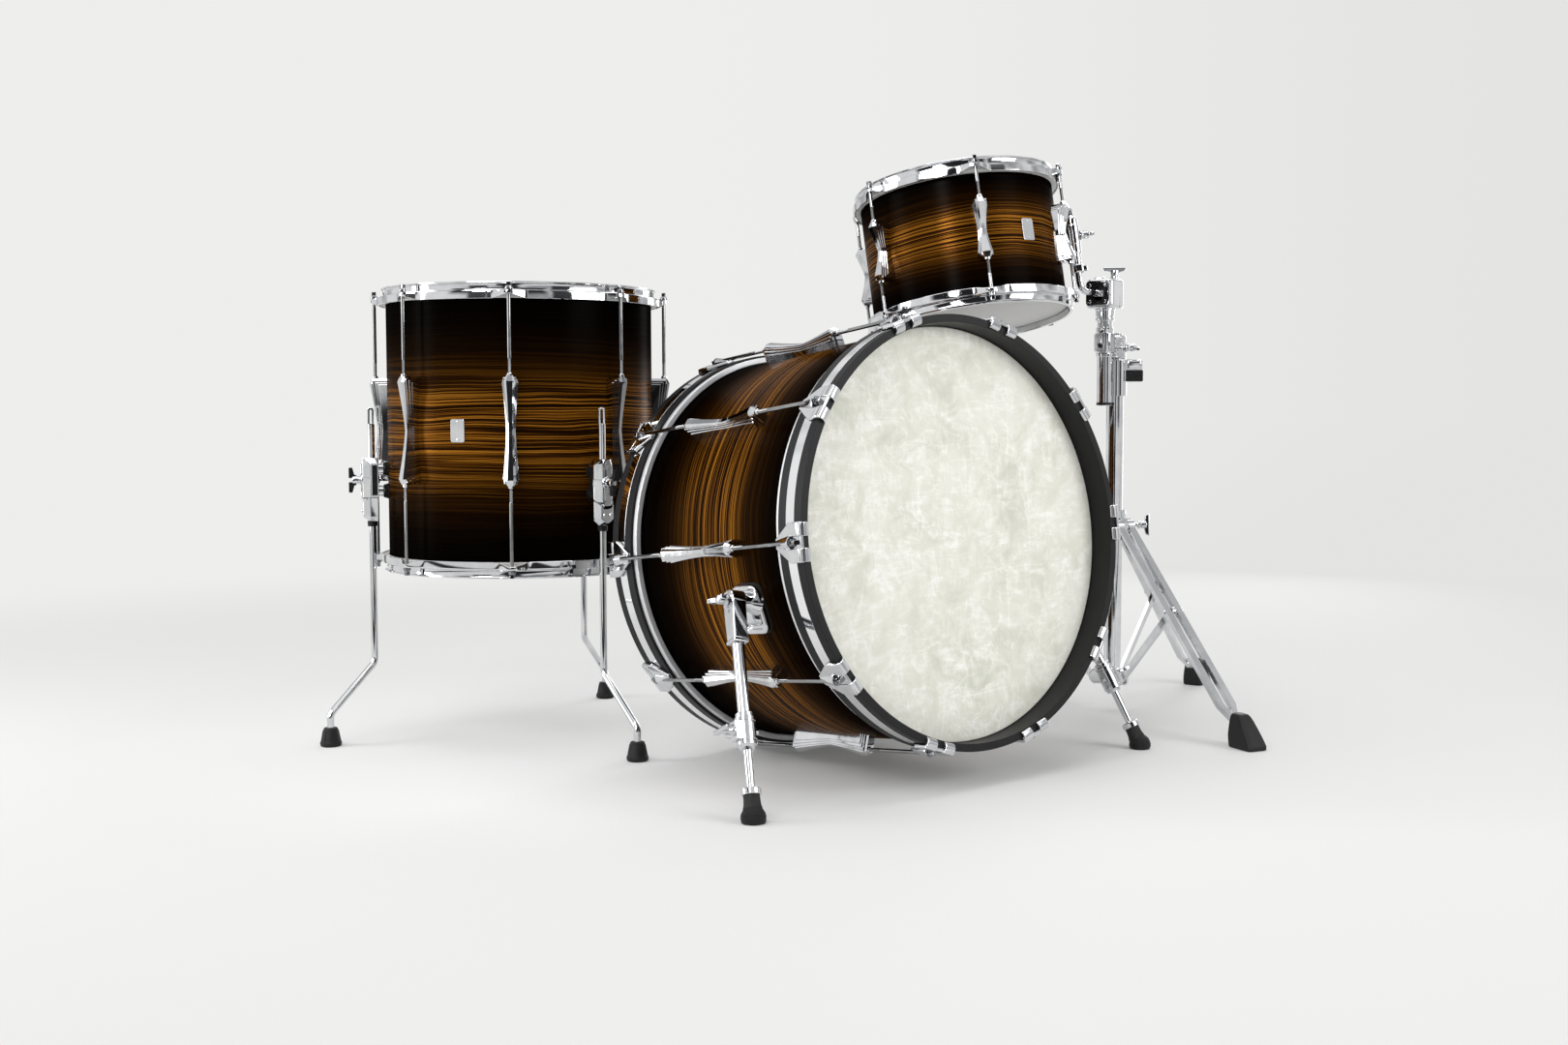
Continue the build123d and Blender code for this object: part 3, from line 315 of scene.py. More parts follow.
# Layers, roughness, relief and spread of every polished finish
POLISH = (((22.0, 5.0, 0.6), (140.0, 3.0), (55.0, 2.0)), (0.005, 0.05, 0.05), (2, 0.03, 0.001), (0.35, 0.7))
CHROME = plain_finish(
    "chrome_plate", (rgb(0.62, 0.63, 0.65), rgb(0.74, 0.74, 0.75)), *POLISH, Metallic=1.0)
# The rods' chrome, with the same polish as the lugs' but painted darker as shade
SHADED_ROD_CHROME = plain_finish(
    "shaded_rod_chrome", (rgb(0.26, 0.265, 0.275), rgb(0.38, 0.38, 0.385)), *POLISH, Metallic=1.0)
# Dark metal for painted shade: the walls between lug steps, flank grooves, slots and the hollows of looped
# wings
PAINTED_SHADE_METAL = plain_finish(
    "painted_shade_metal", (rgb(0.035, 0.035, 0.038), rgb(0.08, 0.08, 0.084)), [(40.0, 4.0)], (0.2, 0.2),
    Metallic=1.0)
RING_METAL = plain_finish(
    "ring_metal", (rgb(0.66, 0.67, 0.69), rgb(0.8, 0.8, 0.81)), [(18.0, 4.0), ((40.0, 700.0, 40.0), 3.0)],
    (0.34, 0.1, 0.16), (1, 0.06, 0.0004), Metallic=0.55)
MIRROR = plain_finish(
    "mirror_strip", (rgb(0.8, 0.81, 0.82), rgb(0.88, 0.88, 0.89)), [(30.0, 4.0), (24.0, 1.0)], (0.015, 0.05),
    (1, 0.08, 0.001), Metallic=1.0)
BLACK_HOOP = plain_finish(
    "satin_black_lacquer", (rgb(0.005, 0.005, 0.0055), rgb(0.011, 0.011, 0.0115)),
    [((60.0, 420.0, 60.0), 4.0), (900.0, 2.0)], (0.34, 0.12, 0.1), (0, 0.08, 0.0006), Specular_IOR_Level=0.22)
RUBBER = plain_finish(
    "black_rubber", (rgb(0.008, 0.008, 0.008), rgb(0.022, 0.022, 0.023)), [(60.0, 4.0, 0.6), (1400.0, 2.0)],
    (0.46, 0.2), (1, 0.15, 0.0004), Specular_IOR_Level=0.25)
NYLON = plain_finish(
    "black_nylon", (rgb(0.006, 0.006, 0.006), rgb(0.014, 0.014, 0.015)), [(90.0, 3.0), (2200.0, 2.0)],
    (0.3, 0.15), (1, 0.1, 0.0003), Specular_IOR_Level=0.25)
COATED = plain_finish(
    "coated_film", (rgb(0.66, 0.66, 0.64), rgb(0.76, 0.76, 0.75)), [(14.0, 5.0, 0.6), (1500.0, 2.0)],
    (0.35, 0.15, 0.15), (1, 0.15, 0.0003))
FIBRE = fibre_film_finish()


def recalculated(shape):
    bmesh.ops.recalc_face_normals(shape, faces=shape.faces)
    return shape


def turns(count, start=0.0):
    """Angles evenly round a circle, the first of them a share of one step on."""
    return [2 * pi * (step + start) / count for step in range(count)]


def bridge(shape, rings):
    """Faces from each ring of vertices to the next; a ring of one vertex is a pole."""
    for lower, upper in zip(rings, rings[1:]):
        count = max(len(lower), len(upper))
        for step in range(count):
            after = (step + 1) % count
            corners = [lower[step % len(lower)], lower[after % len(lower)],
                       upper[after % len(upper)], upper[step % len(upper)]]
            corners = list(dict.fromkeys(corners))
            if len(corners) > 2:
                shape.faces.new(corners)
    return recalculated(shape)


def lathe(profile, steps, closed=True):
    """A shape turned round Z from (radius, height) points."""
    shape = bmesh.new()
    rings = []
    for radius, height in profile:
        spots = [(radius * cos(turn), radius * sin(turn)) for turn in turns(steps)] if radius else [(0, 0)]
        rings.append([shape.verts.new((*spot, height)) for spot in spots])
    return bridge(shape, rings + rings[:1] if closed else rings)


FACING = {
    "Z": Matrix.Identity(4),
    "X": Matrix(((0, 0, 1, 0), (1, 0, 0, 0), (0, 1, 0, 0), (0, 0, 0, 1))),
    "Y": Matrix(((1, 0, 0, 0), (0, 0, -1, 0), (0, 1, 0, 0), (0, 0, 0, 1))),
}


def moved(shape, place):
    shape.transform(place)
    return shape


def loft(sections):
    """A closed skin through rings of points with equal counts."""
    shape = bmesh.new()
    rings = [[shape.verts.new(point) for point in section] for section in sections]
    shape.faces.new(rings[0])
    shape.faces.new(rings[-1])
    return bridge(shape, rings)


def shrunk(outline, share):
    middle = sum((Vector(point) for point in outline), Vector((0, 0))) / len(outline)
    return [middle + (Vector(point) - middle) * share for point in outline]


def raised(outline, height, facing):
    """The points of an outline that faces an axis, at a height on it."""
    return [FACING[facing] @ Vector((*point, height)) for point in outline]


def prism(outline, low, high, facing="Z", shrink=1.0):
    """An outline drawn facing an axis, between two heights on it."""
    return loft([raised(outline, low, facing), raised(shrunk(outline, shrink), high, facing)])


def hollow_prism(outer, inner, low, high, facing="Z"):
    """A bar bent into a loop between two outlines with equal counts."""
    shape = bmesh.new()
    rings = [[shape.verts.new(point) for point in raised(outline, height, facing)]
             for outline, height in ((outer, low), (outer, high), (inner, high), (inner, low))]
    return bridge(shape, rings + rings[:1])


def soften(shape, width, segments=2, limit=28.0):
    """Rounds every edge that is sharper than the limit."""
    sharp = [edge for edge in shape.edges
             if len(edge.link_faces) == 2 and edge.calc_face_angle() > radians(limit)]
    bmesh.ops.bevel(shape, geom=sharp, offset=width, segments=segments, profile=0.5,
                    affect="EDGES", clamp_overlap=True)
    return shape


def mirrored(points):
    return points + [(-x, y) for x, y in reversed(points)]


def solid_copy(node):
    """A merged copy of a CAD node, in millimetres, with its flat faces whole."""
    shape = bmesh.new()
    shape.from_mesh(frame["nodes"][node].data)
    shape.transform(Matrix.Scale(1 / MM, 4))
    bmesh.ops.remove_doubles(shape, verts=shape.verts, dist=0.01)
    bmesh.ops.dissolve_limit(
        shape, angle_limit=radians(0.6), verts=shape.verts, edges=shape.edges, use_dissolve_boundaries=False)
    return shape


def mesh_of(shape, name):
    mesh = bpy.data.meshes.new(name)
    shape.to_mesh(mesh)
    shape.free()
    return mesh


def evaluated_mesh(item):
    """A plain mesh of an object with its modifiers applied; the object goes."""
    depsgraph = bpy.context.evaluated_depsgraph_get()
    mesh = bpy.data.meshes.new_from_object(item.evaluated_get(depsgraph), depsgraph=depsgraph)
    bpy.data.objects.remove(item)
    return mesh


def linked(name, mesh):
    item = bpy.data.objects.new(name, mesh)
    bpy.context.scene.collection.objects.link(item)
    return item


def finished(name, parts, body, nodes=(), crease=CREASE):
    whole = bmesh.new()
    finishes = []
    for shape, place, finish in parts:
        mesh = shape if isinstance(shape, bpy.types.Mesh) else mesh_of(shape, name)
        if finish not in finishes:
            finishes.append(finish)
        mesh.transform(place)
        if place.is_negative:
            mesh.flip_normals()
        first = len(whole.faces)
        whole.from_mesh(mesh)
        whole.faces.ensure_lookup_table()
        for face in whole.faces[first:]:
            face.material_index = finishes.index(finish)
        bpy.data.meshes.remove(mesh)
    whole.transform(Matrix.Scale(MM, 4))
    draft = linked(name + ".draft", mesh_of(whole, name))
    draft.data.shade_smooth()
    draft.data.set_sharp_from_angle(angle=radians(crease))
    draft.modifiers.new("even normals", "WEIGHTED_NORMAL").keep_sharp = True
    mesh = evaluated_mesh(draft)
    mesh.materials.clear()
    for finish in finishes:
        mesh.materials.append(finish)
    piece = linked(name, mesh)
    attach(piece, body)
    if nodes:
        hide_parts(*nodes)


def build_ring_tree():
    """A tree that sets copies of one item evenly round the Z axis."""
    tree = bpy.data.node_groups.new("items_round_an_axis", "GeometryNodeTree")
    sockets = {"Item": "NodeSocketObject", "Count": "NodeSocketInt", "First angle": "NodeSocketFloat"}
    for name, kind in sockets.items():
        tree.interface.new_socket(name, in_out="INPUT", socket_type=kind)
    tree.interface.new_socket("Geometry", in_out="OUTPUT", socket_type="NodeSocketGeometry")
    graph = Graph(tree)
    given = graph.node("NodeGroupInput")
    count = given.out("Count")
    points = graph.node("GeometryNodePoints", inputs={"Count": count})
    angle = graph.node("GeometryNodeInputIndex") / count * (2 * pi) + given.out("First angle")
    item = graph.node("GeometryNodeObjectInfo", inputs={"Object": given.out("Item")}, out="Geometry")
    copies = graph.node("GeometryNodeInstanceOnPoints", inputs={
        "Points": points, "Instance": item, "Rotation": graph.triple(0.0, 0.0, angle)})
    real = graph.node("GeometryNodeRealizeInstances", inputs={"Geometry": copies})
    graph.node("NodeGroupOutput", inputs={"Geometry": real})
    return tree


RING_TREE = build_ring_tree()


def ring_of(shape, count, first_angle=0.0):
    """A mesh of copies of a shape, set evenly round Z by the ring tree."""
    item = linked("ring_item", mesh_of(shape, "ring_item"))
    holder = linked("ring_holder", bpy.data.meshes.new("ring_holder"))
    modifier = holder.modifiers.new("ring", "NODES")
    modifier.node_group = RING_TREE
    values = {"Item": item, "Count": count, "First angle": radians(first_angle)}
    for socket in RING_TREE.interface.items_tree:
        if socket.name in values:
            modifier[socket.identifier] = values[socket.name]
    mesh = evaluated_mesh(holder)
    bpy.data.objects.remove(item)
    return mesh


def joined(*shapes):
    whole = bmesh.new()
    for shape in shapes:
        mesh = mesh_of(shape, "joined_part")
        whole.from_mesh(mesh)
        bpy.data.meshes.remove(mesh)
    return whole


def mirror_image(shape):
    """A copy of the shape across the XY plane."""
    image = shape.copy()
    image.transform(Matrix.Scale(-1, 4, (0, 0, 1)))
    bmesh.ops.reverse_faces(image, faces=image.faces)
    return image


def at_both_ends(shape):
    return joined(shape, mirror_image(shape))


def oblong(half, low, high):
    """An outline with X from -half to half and Y from low to high."""
    return [(-half, low), (half, low), (half, high), (-half, high)]


def tube(inner, outer, low, high, steps):
    return lathe([(inner, low), (outer, low), (outer, high), (inner, high)], steps)


# Drum pieces in the drum's own frame, with Z along its axis and X through a lug
LUG_LAYERS = 4
LUG_POINT = 8.0
LUG_STATIONS = 12
LUG_SINK = 1.0
SHADOW_GAP = 0.15
SHADOW_DROP = 0.5


def lug_stations(radius, length, share):
    """Height, half width, top and chamfer along one layer: the spine at share 0, the widest step at 1."""
    half = length / 2 - 9.0 * share
    pointed, fall, tip_half = (LUG_POINT, 4.0, 4.8) if share == 0 else (0.6, 0.6, 8.0 + 3.6 * share - 0.3)
    end_top = radius + 28.0 - 14.0 * share
    shoulder = half - pointed
    middle = []
    for step in range(LUG_STATIONS + 1):
        z = shoulder * (2 * step / LUG_STATIONS - 1)
        away = abs(z) / shoulder
        flare = away ** 1.6
        middle.append((z, 4.1 + 2.7 * share + (3.9 + 0.9 * share) * flare,
                       radius + 17.0 - 8.0 * share + (11.0 - 6.0 * share) * away ** 1.25,
                       1.5 + 1.9 * flare if share == 0 else 0.6))
    tip = (tip_half, end_top - fall, 1.6 if share == 0 else 0.6)
    return [(-half, *tip)] + middle + [(half, *tip)]


def lug_layers(radius, length):
    return [lug_stations(radius, length, layer / (LUG_LAYERS - 1)) for layer in range(LUG_LAYERS)]


def lug_shape(radius, length):
    """A bow-tie casting with a tall, chamfered spine and lower, wider steps nested beside it."""
    base = radius - LUG_SINK
    layers = []
    for stations in lug_layers(radius, length):
        layers.append(loft([
            ((base, -wide, z), (top - edge, -wide, z), (top, edge - wide, z),
             (top, wide - edge, z), (top - edge, wide, z), (base, wide, z))
            for z, wide, top, edge in stations]))
    axis = radius + ROD_OFFSET
    tip = length / 2 + FERRULE_HEIGHT
    ferrule = lathe([
        (ROD_RADIUS, tip - 12.0), (4.4, tip - 12.0), (4.4, tip - 1.2), (3.6, tip), (ROD_RADIUS, tip)], 24)
    layers.append(at_both_ends(moved(ferrule, shifted(axis, 0, 0))))
    return joined(*layers)


def wall_outline(base, top, wide):
    return (base, -wide), (top, -wide), (top, wide), (base, wide)


def lug_shadow_shape(radius, length):
    """The walls under the bright ledges of a lug, painted dark as shade."""
    base = radius - LUG_SINK
    walls = []
    for stations in lug_layers(radius, length):
        end = stations[-1][0]
        rings = []
        for z, wide, top, edge in stations:
            if abs(z) == end:
                z += SHADOW_GAP if z > 0 else -SHADOW_GAP
            outline = wall_outline(base, top - edge - SHADOW_DROP, wide + SHADOW_GAP)
            rings.append([(x, y, z) for x, y in outline])
        walls.append(loft(rings))
    return joined(*walls)


THREAD_PITCH = 1.2
THREAD_TURNS = 22


def rod_shape(radius, length, seat):
    """A key rod: thread at the lug, plain shank, washer, flange and square key head."""
    tip = length / 2 + FERRULE_HEIGHT
    profile = [(0.0, tip - ROD_GRIP), (2.3, tip - ROD_GRIP)]
    for turn in range(THREAD_TURNS):
        base = tip - 6.0 + turn * THREAD_PITCH
        profile += [(2.35, base), (2.75, base + THREAD_PITCH / 2)]
    shank_start = tip - 6.0 + THREAD_TURNS * THREAD_PITCH
    profile += [(2.8, shank_start + 0.6), (2.8, seat), (6.0, seat), (6.0, seat + 1.6), (4.9, seat + 1.7),
                (4.9, seat + 3.8), (4.1, seat + 4.6), (0.0, seat + 4.6)]
    shank = lathe(profile, 16)
    head = soften(prism(oblong(3.1, -3.1, 3.1), seat + 4.4, seat + 10.6), 0.7, 2)
    return at_both_ends(moved(joined(shank, head), shifted(radius + ROD_OFFSET, 0, 0)))


HOOP_PLAY = 0.6
HOOP_GAUGE = 2.3
EAR_REACH = 12.6
EAR_HALF_LENGTH = 27.0


def tom_hoop_shape(radius, depth, count, first_angle, steps=288):
    """A flanged hoop whose skirt swells out to an ear at each rod."""
    edge = depth / 2
    step = edge - HOOP_STEP
    wall_in = radius + FILM_PLAY + FILM + HOOP_PLAY
    wall_out = wall_in + HOOP_GAUGE
    skirt_in = radius + FILM_PLAY + RING_WIDTH + HOOP_PLAY
    skirt_out = skirt_in + HOOP_GAUGE
    top = edge + 11.0
    low = step - 12.5
    # Radius, height, and how much of the ear's swelling the point takes
    profile = [
        (wall_in, step - 1.4, 0.0), (wall_in + 1.0, step - HOOP_GAUGE, 0.0),
        (skirt_in - 2.0, step - HOOP_GAUGE, 0.85), (skirt_in - 0.4, step - HOOP_GAUGE - 0.6, 1.0),
        (skirt_in, step - HOOP_GAUGE - 2.0, 1.0),
        (skirt_in, low + 0.5, 1.0), (skirt_in + 0.4, low, 1.0), (skirt_out - 0.4, low, 1.0),
        (skirt_out, low + 0.5, 1.0), (skirt_out, step - 3.2, 1.0), (skirt_out - 0.5, step - 1.2, 1.0),
        (skirt_out - 2.2, step - 0.1, 1.0), (wall_out + 1.6, step, 0.1), (wall_out + 0.4, step + 0.5, 0.0),
        (wall_out, step + 1.8, 0.0), (wall_out, top - 4.2, 0.0), (wall_out + 0.7, top - 2.8, 0.0),
        (wall_out + 2.4, top - 2.3, 0.0), (wall_out + 3.0, top - 1.4, 0.0), (wall_out + 2.6, top - 0.4, 0.0),
        (wall_out + 1.4, top, 0.0), (wall_in + 1.4, top, 0.0), (wall_in + 0.3, top - 0.7, 0.0),
        (wall_in, top - 2.2, 0.0)]
    shape = bmesh.new()
    pitch = 2 * pi / count
    rings = []
    for radius_at, height, share in profile:
        ring = []
        for angle in turns(steps):
            off = (angle - radians(first_angle) + pitch / 2) % pitch - pitch / 2
            reach = max(0.0, 1.0 - abs(off) * radius_at / EAR_HALF_LENGTH)
            swell = reach * reach * (3 - 2 * reach)
            lift = 6.0 * swell if height < step - 6.0 else 0.0
            out = radius_at + EAR_REACH * swell * share
            ring.append(shape.verts.new((out * cos(angle), out * sin(angle), height + lift)))
        rings.append(ring)
    return bridge(shape, rings + rings[:1])


def film_top(inner, edge):
    """The outer side of a film, from its wall over the bearing edge to the middle."""
    return [(inner + FILM, edge - 0.8), (inner - 0.4, edge + 0.3), (inner - 3.0, edge + FILM),
            (0.0, edge + FILM)]


def tom_head_shape(radius, depth):
    """A film pulled over the bearing edge into its ring."""
    edge = depth / 2
    inner = radius + FILM_PLAY
    outer = inner + RING_WIDTH
    ring_top = edge - HOOP_STEP - HOOP_GAUGE
    ring_low = ring_top - RING_HEIGHT
    return lathe([
        (0.0, edge), (inner - 6.0, edge), (inner, edge - 0.6), (inner, ring_low), (outer - 0.8, ring_low),
        (outer, ring_low + 0.8), (outer, ring_top - 0.8), (outer - 0.8, ring_top), (inner + FILM, ring_top),
        *film_top(inner, edge)], 160)


def shell_shape(radius, depth):
    edge = depth / 2
    inner = radius - SHELL_WALL
    return lathe([
        (inner, 5.5 - edge), (inner + 5.5, -edge), (radius - 0.6, -edge), (radius, 0.6 - edge),
        (radius, edge - 0.6), (radius - 0.6, edge), (inner + 5.5, edge), (inner, edge - 5.5)], 192)


def rounded_outline(half_wide, half_tall, corner, steps=5):
    outline = []
    for x, y, start in ((1, 1, 0), (-1, 1, 90), (-1, -1, 180), (1, -1, 270)):
        for step in range(steps):
            angle = radians(start + 90.0 * step / (steps - 1))
            outline.append((x * (half_wide - corner) + corner * cos(angle),
                            y * (half_tall - corner) + corner * sin(angle)))
    return outline


def badge_shape(radius):
    """A bare rounded plate set flat against the shell, with a small rivet at each end."""
    plate = soften(prism(rounded_outline(11.0, 17.0, 3.0), radius - 0.4, radius + 1.4, "X"), 0.4, 2)
    rivets = [moved(lathe([(0.0, 0.0), (1.7, 0.0), (1.5, 0.7), (0.8, 1.1), (0.0, 1.2)], 16),
                    FACING["X"] @ shifted(0, height, radius + 1.3)) for height in (-13.0, 13.0)]
    return joined(plate, *rivets)


IDENTITY = Matrix.Identity(4)


def dress_drum(prefix, body, place, size, veneer, lugs, own_rows):
    """Shell, lugs and rods of one drum, and its own rows of a slot and (shape, finish) parts."""
    radius, depth = size
    count, first, length, seat = lugs
    rows = {
        "shell": ("veneer", (shell_shape(radius, depth), veneer)), **own_rows,
        "lugs": ("chrome", (ring_of(lug_shape(radius, length), count, first), CHROME),
                 # painted shade: the walls between the lug's steps in dark metal
                 (ring_of(lug_shadow_shape(radius, length), count, first), PAINTED_SHADE_METAL)),
        # painted shade: the rods in a darker copy of the chrome
        "tension_rods": ("chrome", (ring_of(rod_shape(radius, length, seat), count, first), SHADED_ROD_CHROME)),
    }
    for name, (slot, *parts) in rows.items():
        node = prefix + "_" + name
        finished(node, [(shape, place, finish) for shape, finish in parts], body, [node],
                 LUG_CREASE if name == "lugs" else CREASE)


def dress_tom(name, place, size, count, badge_angle, lug_length, veneer):
    radius, depth = size
    first = badge_angle + 180.0 / count
    dress_drum(name, name, place, size, veneer, (count, first, lug_length, depth / 2 - HOOP_STEP), {
        "hoops": ("chrome", (at_both_ends(tom_hoop_shape(radius, depth, count, first)), CHROME)),
        "heads": ("clear_coat_film", (at_both_ends(tom_head_shape(radius, depth)), COATED)),
    })
    finished(name + "_badge_plate", [(badge_shape(radius), place @ turned(badge_angle), CHROME)],
             name)


CLAW_GROUND = BASS_HOOP_RADIUS + 0.2


def claw_shape():
    """A claw hook: a plate on the hoop, two hooks over its front and a ridge for the rod."""
    face = BASS_HALF
    ground = CLAW_GROUND
    front = face + 4.4
    back = face - 46.0
    shoulder = face - 19.0
    slot_end = face - CLAW_SLOT
    plate = soften(prism(mirrored([
        (6.5, back), (25.5, shoulder), (25.5, front), (7.0, front), (7.0, slot_end)]),
        ground, ground + 5.2, "X"), 1.5, 3)
    ridge = loft([
        ((ground, -half, z), (ground + wall, -half, z), (ground + peak, 0, z),
         (ground + wall, half, z), (ground, half, z))
        for z, half, wall, peak in (
            (back + 1.0, 4.6, 5.4, 6.6), (shoulder, 9.0, 7.0, 12.2), (slot_end, 9.0, 7.6, 12.2))])
    nose = [(ground + rise, face + past) for rise, past in (
        (-10.0, 0.2), (-10.4, 2.4), (-8.6, 4.8), (-4.4, 6.4), (0.8, 6.2), (4.2, 3.6),
        (5.6, -0.8), (5.6, -9.0), (4.4, -14.0), (0.1, -14.0), (0.1, 0.2))]
    hooks = [soften(prism(nose, side - 8.8, side + 8.8, "Y"), 1.5, 3) for side in (-16.0, 16.0)]
    return at_both_ends(joined(plate, soften(ridge, 1.2, 2), *hooks))


def claw_slot_shape():
    """The pad in the slot between the hooks, under the key head of the rod."""
    face = BASS_HALF
    ground = CLAW_GROUND
    end = face - CLAW_SLOT
    pad = soften(prism(oblong(8.6, end - 1.0, face + 3.6), ground - 0.1, ground + 4.4, "X"), 0.8, 2)
    wall = prism(oblong(8.2, end - 1.4, end + 0.4), ground, ground + 7.4, "X")
    return at_both_ends(joined(pad, wall))


BASS_STEPS = 192


def dress_bass_drum():
    edge = BASS_DEPTH / 2
    inner = BASS_RADIUS + FILM_PLAY
    hoop_in = inner + FILM + HOOP_PLAY
    outer = BASS_HOOP_RADIUS
    groove_top = BASS_HALF - 14.0
    groove_low = groove_top - 17.0
    low = BASS_HALF - BASS_HOOP_WIDTH
    hoop = soften(lathe([
        (hoop_in, low), (outer, low), (outer, groove_low), (outer - 1.2, groove_low),
        (outer - 1.2, groove_top), (outer, groove_top), (outer, BASS_HALF), (hoop_in, BASS_HALF)],
        BASS_STEPS), 1.0, 3)
    strip = soften(tube(outer - 1.1, outer - 0.1, groove_low + 0.3, groove_top - 0.3, BASS_STEPS), 0.15, 1)
    film = lathe([
        (0.0, edge), (inner - 5.0, edge), (inner, edge - 0.6), (inner, low), (inner + FILM, low),
        *film_top(inner, edge)], BASS_STEPS)
    ring = soften(tube(inner, inner + RING_WIDTH, low - RING_HEIGHT, low, BASS_STEPS), 1.6, 3)
    veneer = veneer_finish("bass_veneer", BASS_PLACE, BASS_DEPTH, 3.7, 0.72, 8.0)
    dress_drum("bass", "bass_drum", BASS_PLACE, (BASS_RADIUS, BASS_DEPTH), veneer,
               (BASS_LUGS, 0.0, LUG_LENGTH, BASS_HALF - CLAW_SLOT), {
        "hoops": ("black_hoop", (at_both_ends(hoop), BLACK_HOOP)),
        "hoop_inlays": ("mirror_inlay", (at_both_ends(strip), MIRROR)),
        "rear_head": ("clear_coat_film", (mirror_image(film), COATED)),
        "front_head": ("fibre_film", (film, FIBRE)),
        "head_rings": ("ring_metal", (at_both_ends(ring), RING_METAL)),
        "claws": ("chrome", (ring_of(claw_shape(), BASS_LUGS), CHROME),
                  (ring_of(claw_slot_shape(), BASS_LUGS), RUBBER)),
    })


dress_bass_drum()
dress_tom("floor_tom", FLOOR_PLACE, (FLOOR_RADIUS, FLOOR_DEPTH), FLOOR_LUGS, FLOOR_BADGE, LUG_LENGTH,
          veneer_finish("floor_tom_veneer", FLOOR_PLACE, FLOOR_DEPTH, 11.3, 0.7, -5.0))
dress_tom("rack_tom", RACK_PLACE, (RACK_RADIUS, RACK_DEPTH), RACK_LUGS, RACK_BADGE, RACK_LUG_LENGTH,
          veneer_finish("rack_tom_veneer", RACK_PLACE, RACK_DEPTH, 27.9, 0.58, 0.0))

# Hardware: wing bolts, brackets, legs, spurs, mount and stand
BODY_OF = {node: body for body, nodes in frame["record"]["behaviour"]["bodies"].items() for node in nodes}
JOINT_OF = {joint["child"]: joint for joint in frame["record"]["behaviour"]["joints"]}
SLOT_OF = {CHROME: "chrome", PAINTED_SHADE_METAL: "chrome", RING_METAL: "chrome", NYLON: "rubber", RUBBER: "rubber"}
WING_HEIGHT = 17.0
WING_SPAN = 38.0


def dressed(name, parts, nodes):
    """Pieces for CAD nodes from (shape, place, finish) parts, one piece for each material slot."""
    body = BODY_OF[nodes[0]]
    by_slot = {}
    for part in parts:
        by_slot.setdefault(SLOT_OF[part[-1]], []).append(part)
    for slot, rows in by_slot.items():
        finished(name + "_" + slot, rows, body, nodes)
        nodes = ()


def box(low, high, width=1.0, segments=2):
    """A rounded box between two corners."""
    outline = [(low[0], low[1]), (high[0], low[1]), (high[0], high[1]), (low[0], high[1])]
    return soften(prism(outline, low[2], high[2]), width, segments)


def above_floor(shape):
    """The shape with all that would lie in the floor lifted just clear of it."""
    for vertex in shape.verts:
        vertex.co.z = max(vertex.co.z, FLOOR_GAP)
    return shape


def carried(parts, by):
    """The same (shape, place, finish) parts with their places moved."""
    return [(shape, by @ place, finish) for shape, place, finish in parts]


def turned_on_x(profile, place=(0.0, 0.0, 0.0), steps=40):
    """A lathe shape with its axis along X, from (radius, x) points."""
    return moved(lathe(profile, steps), shifted(*place) @ FACING["X"])


def rounded_route(points, bend, steps=8):
    """Points of a route whose corners are arcs."""
    points = [Vector(point) for point in points]
    route = [points[0]]
    for before, corner, after in zip(points, points[1:], points[2:]):
        ahead = (corner - before).normalized()
        onward = (after - corner).normalized()
        turn = ahead.angle(onward)
        start = corner - ahead * (bend * tan(turn / 2))
        side = (onward - ahead * onward.dot(ahead)).normalized()
        for step in range(steps + 1):
            angle = turn * step / steps
            route.append(start + ahead * (bend * sin(angle)) + side * (bend * (1 - cos(angle))))
    return route + [points[-1]]


def bar_along(route, radius, sides=24):
    """A round bar along a route."""
    sections = []
    side = (route[1] - route[0]).orthogonal()
    for index, point in enumerate(route):
        ahead = (route[min(index + 1, len(route) - 1)] - route[max(index - 1, 0)]).normalized()
        side = (side - ahead * side.dot(ahead)).normalized()
        other = ahead.cross(side)
        sections.append([point + (side * cos(turn) + other * sin(turn)) * radius for turn in turns(sides)])
    return loft(sections)


def wing_place(node):
    """Where a wing bolt's shoulder sits, with Z along the bolt and X along the wings, and its shank."""
    joint = JOINT_OF[BODY_OF[node]]
    axis = Vector(joint["axis"]).normalized()
    points = [vertex.co - Vector(joint["pos_m"]) for vertex in frame["nodes"][node].data.vertices]
    farthest = max(points, key=lambda point: point.cross(axis).length)
    heights = [point.dot(axis) for point in points]
    if farthest.dot(axis) - min(heights) < max(heights) - farthest.dot(axis):
        axis = -axis
        heights = [-height for height in heights]
    length = (max(heights) - min(heights)) / MM
    shoulder = (Vector(joint["pos_m"]) + axis * max(heights)) / MM - axis * WING_HEIGHT
    return frame_at(shoulder, farthest, axis), length - WING_HEIGHT


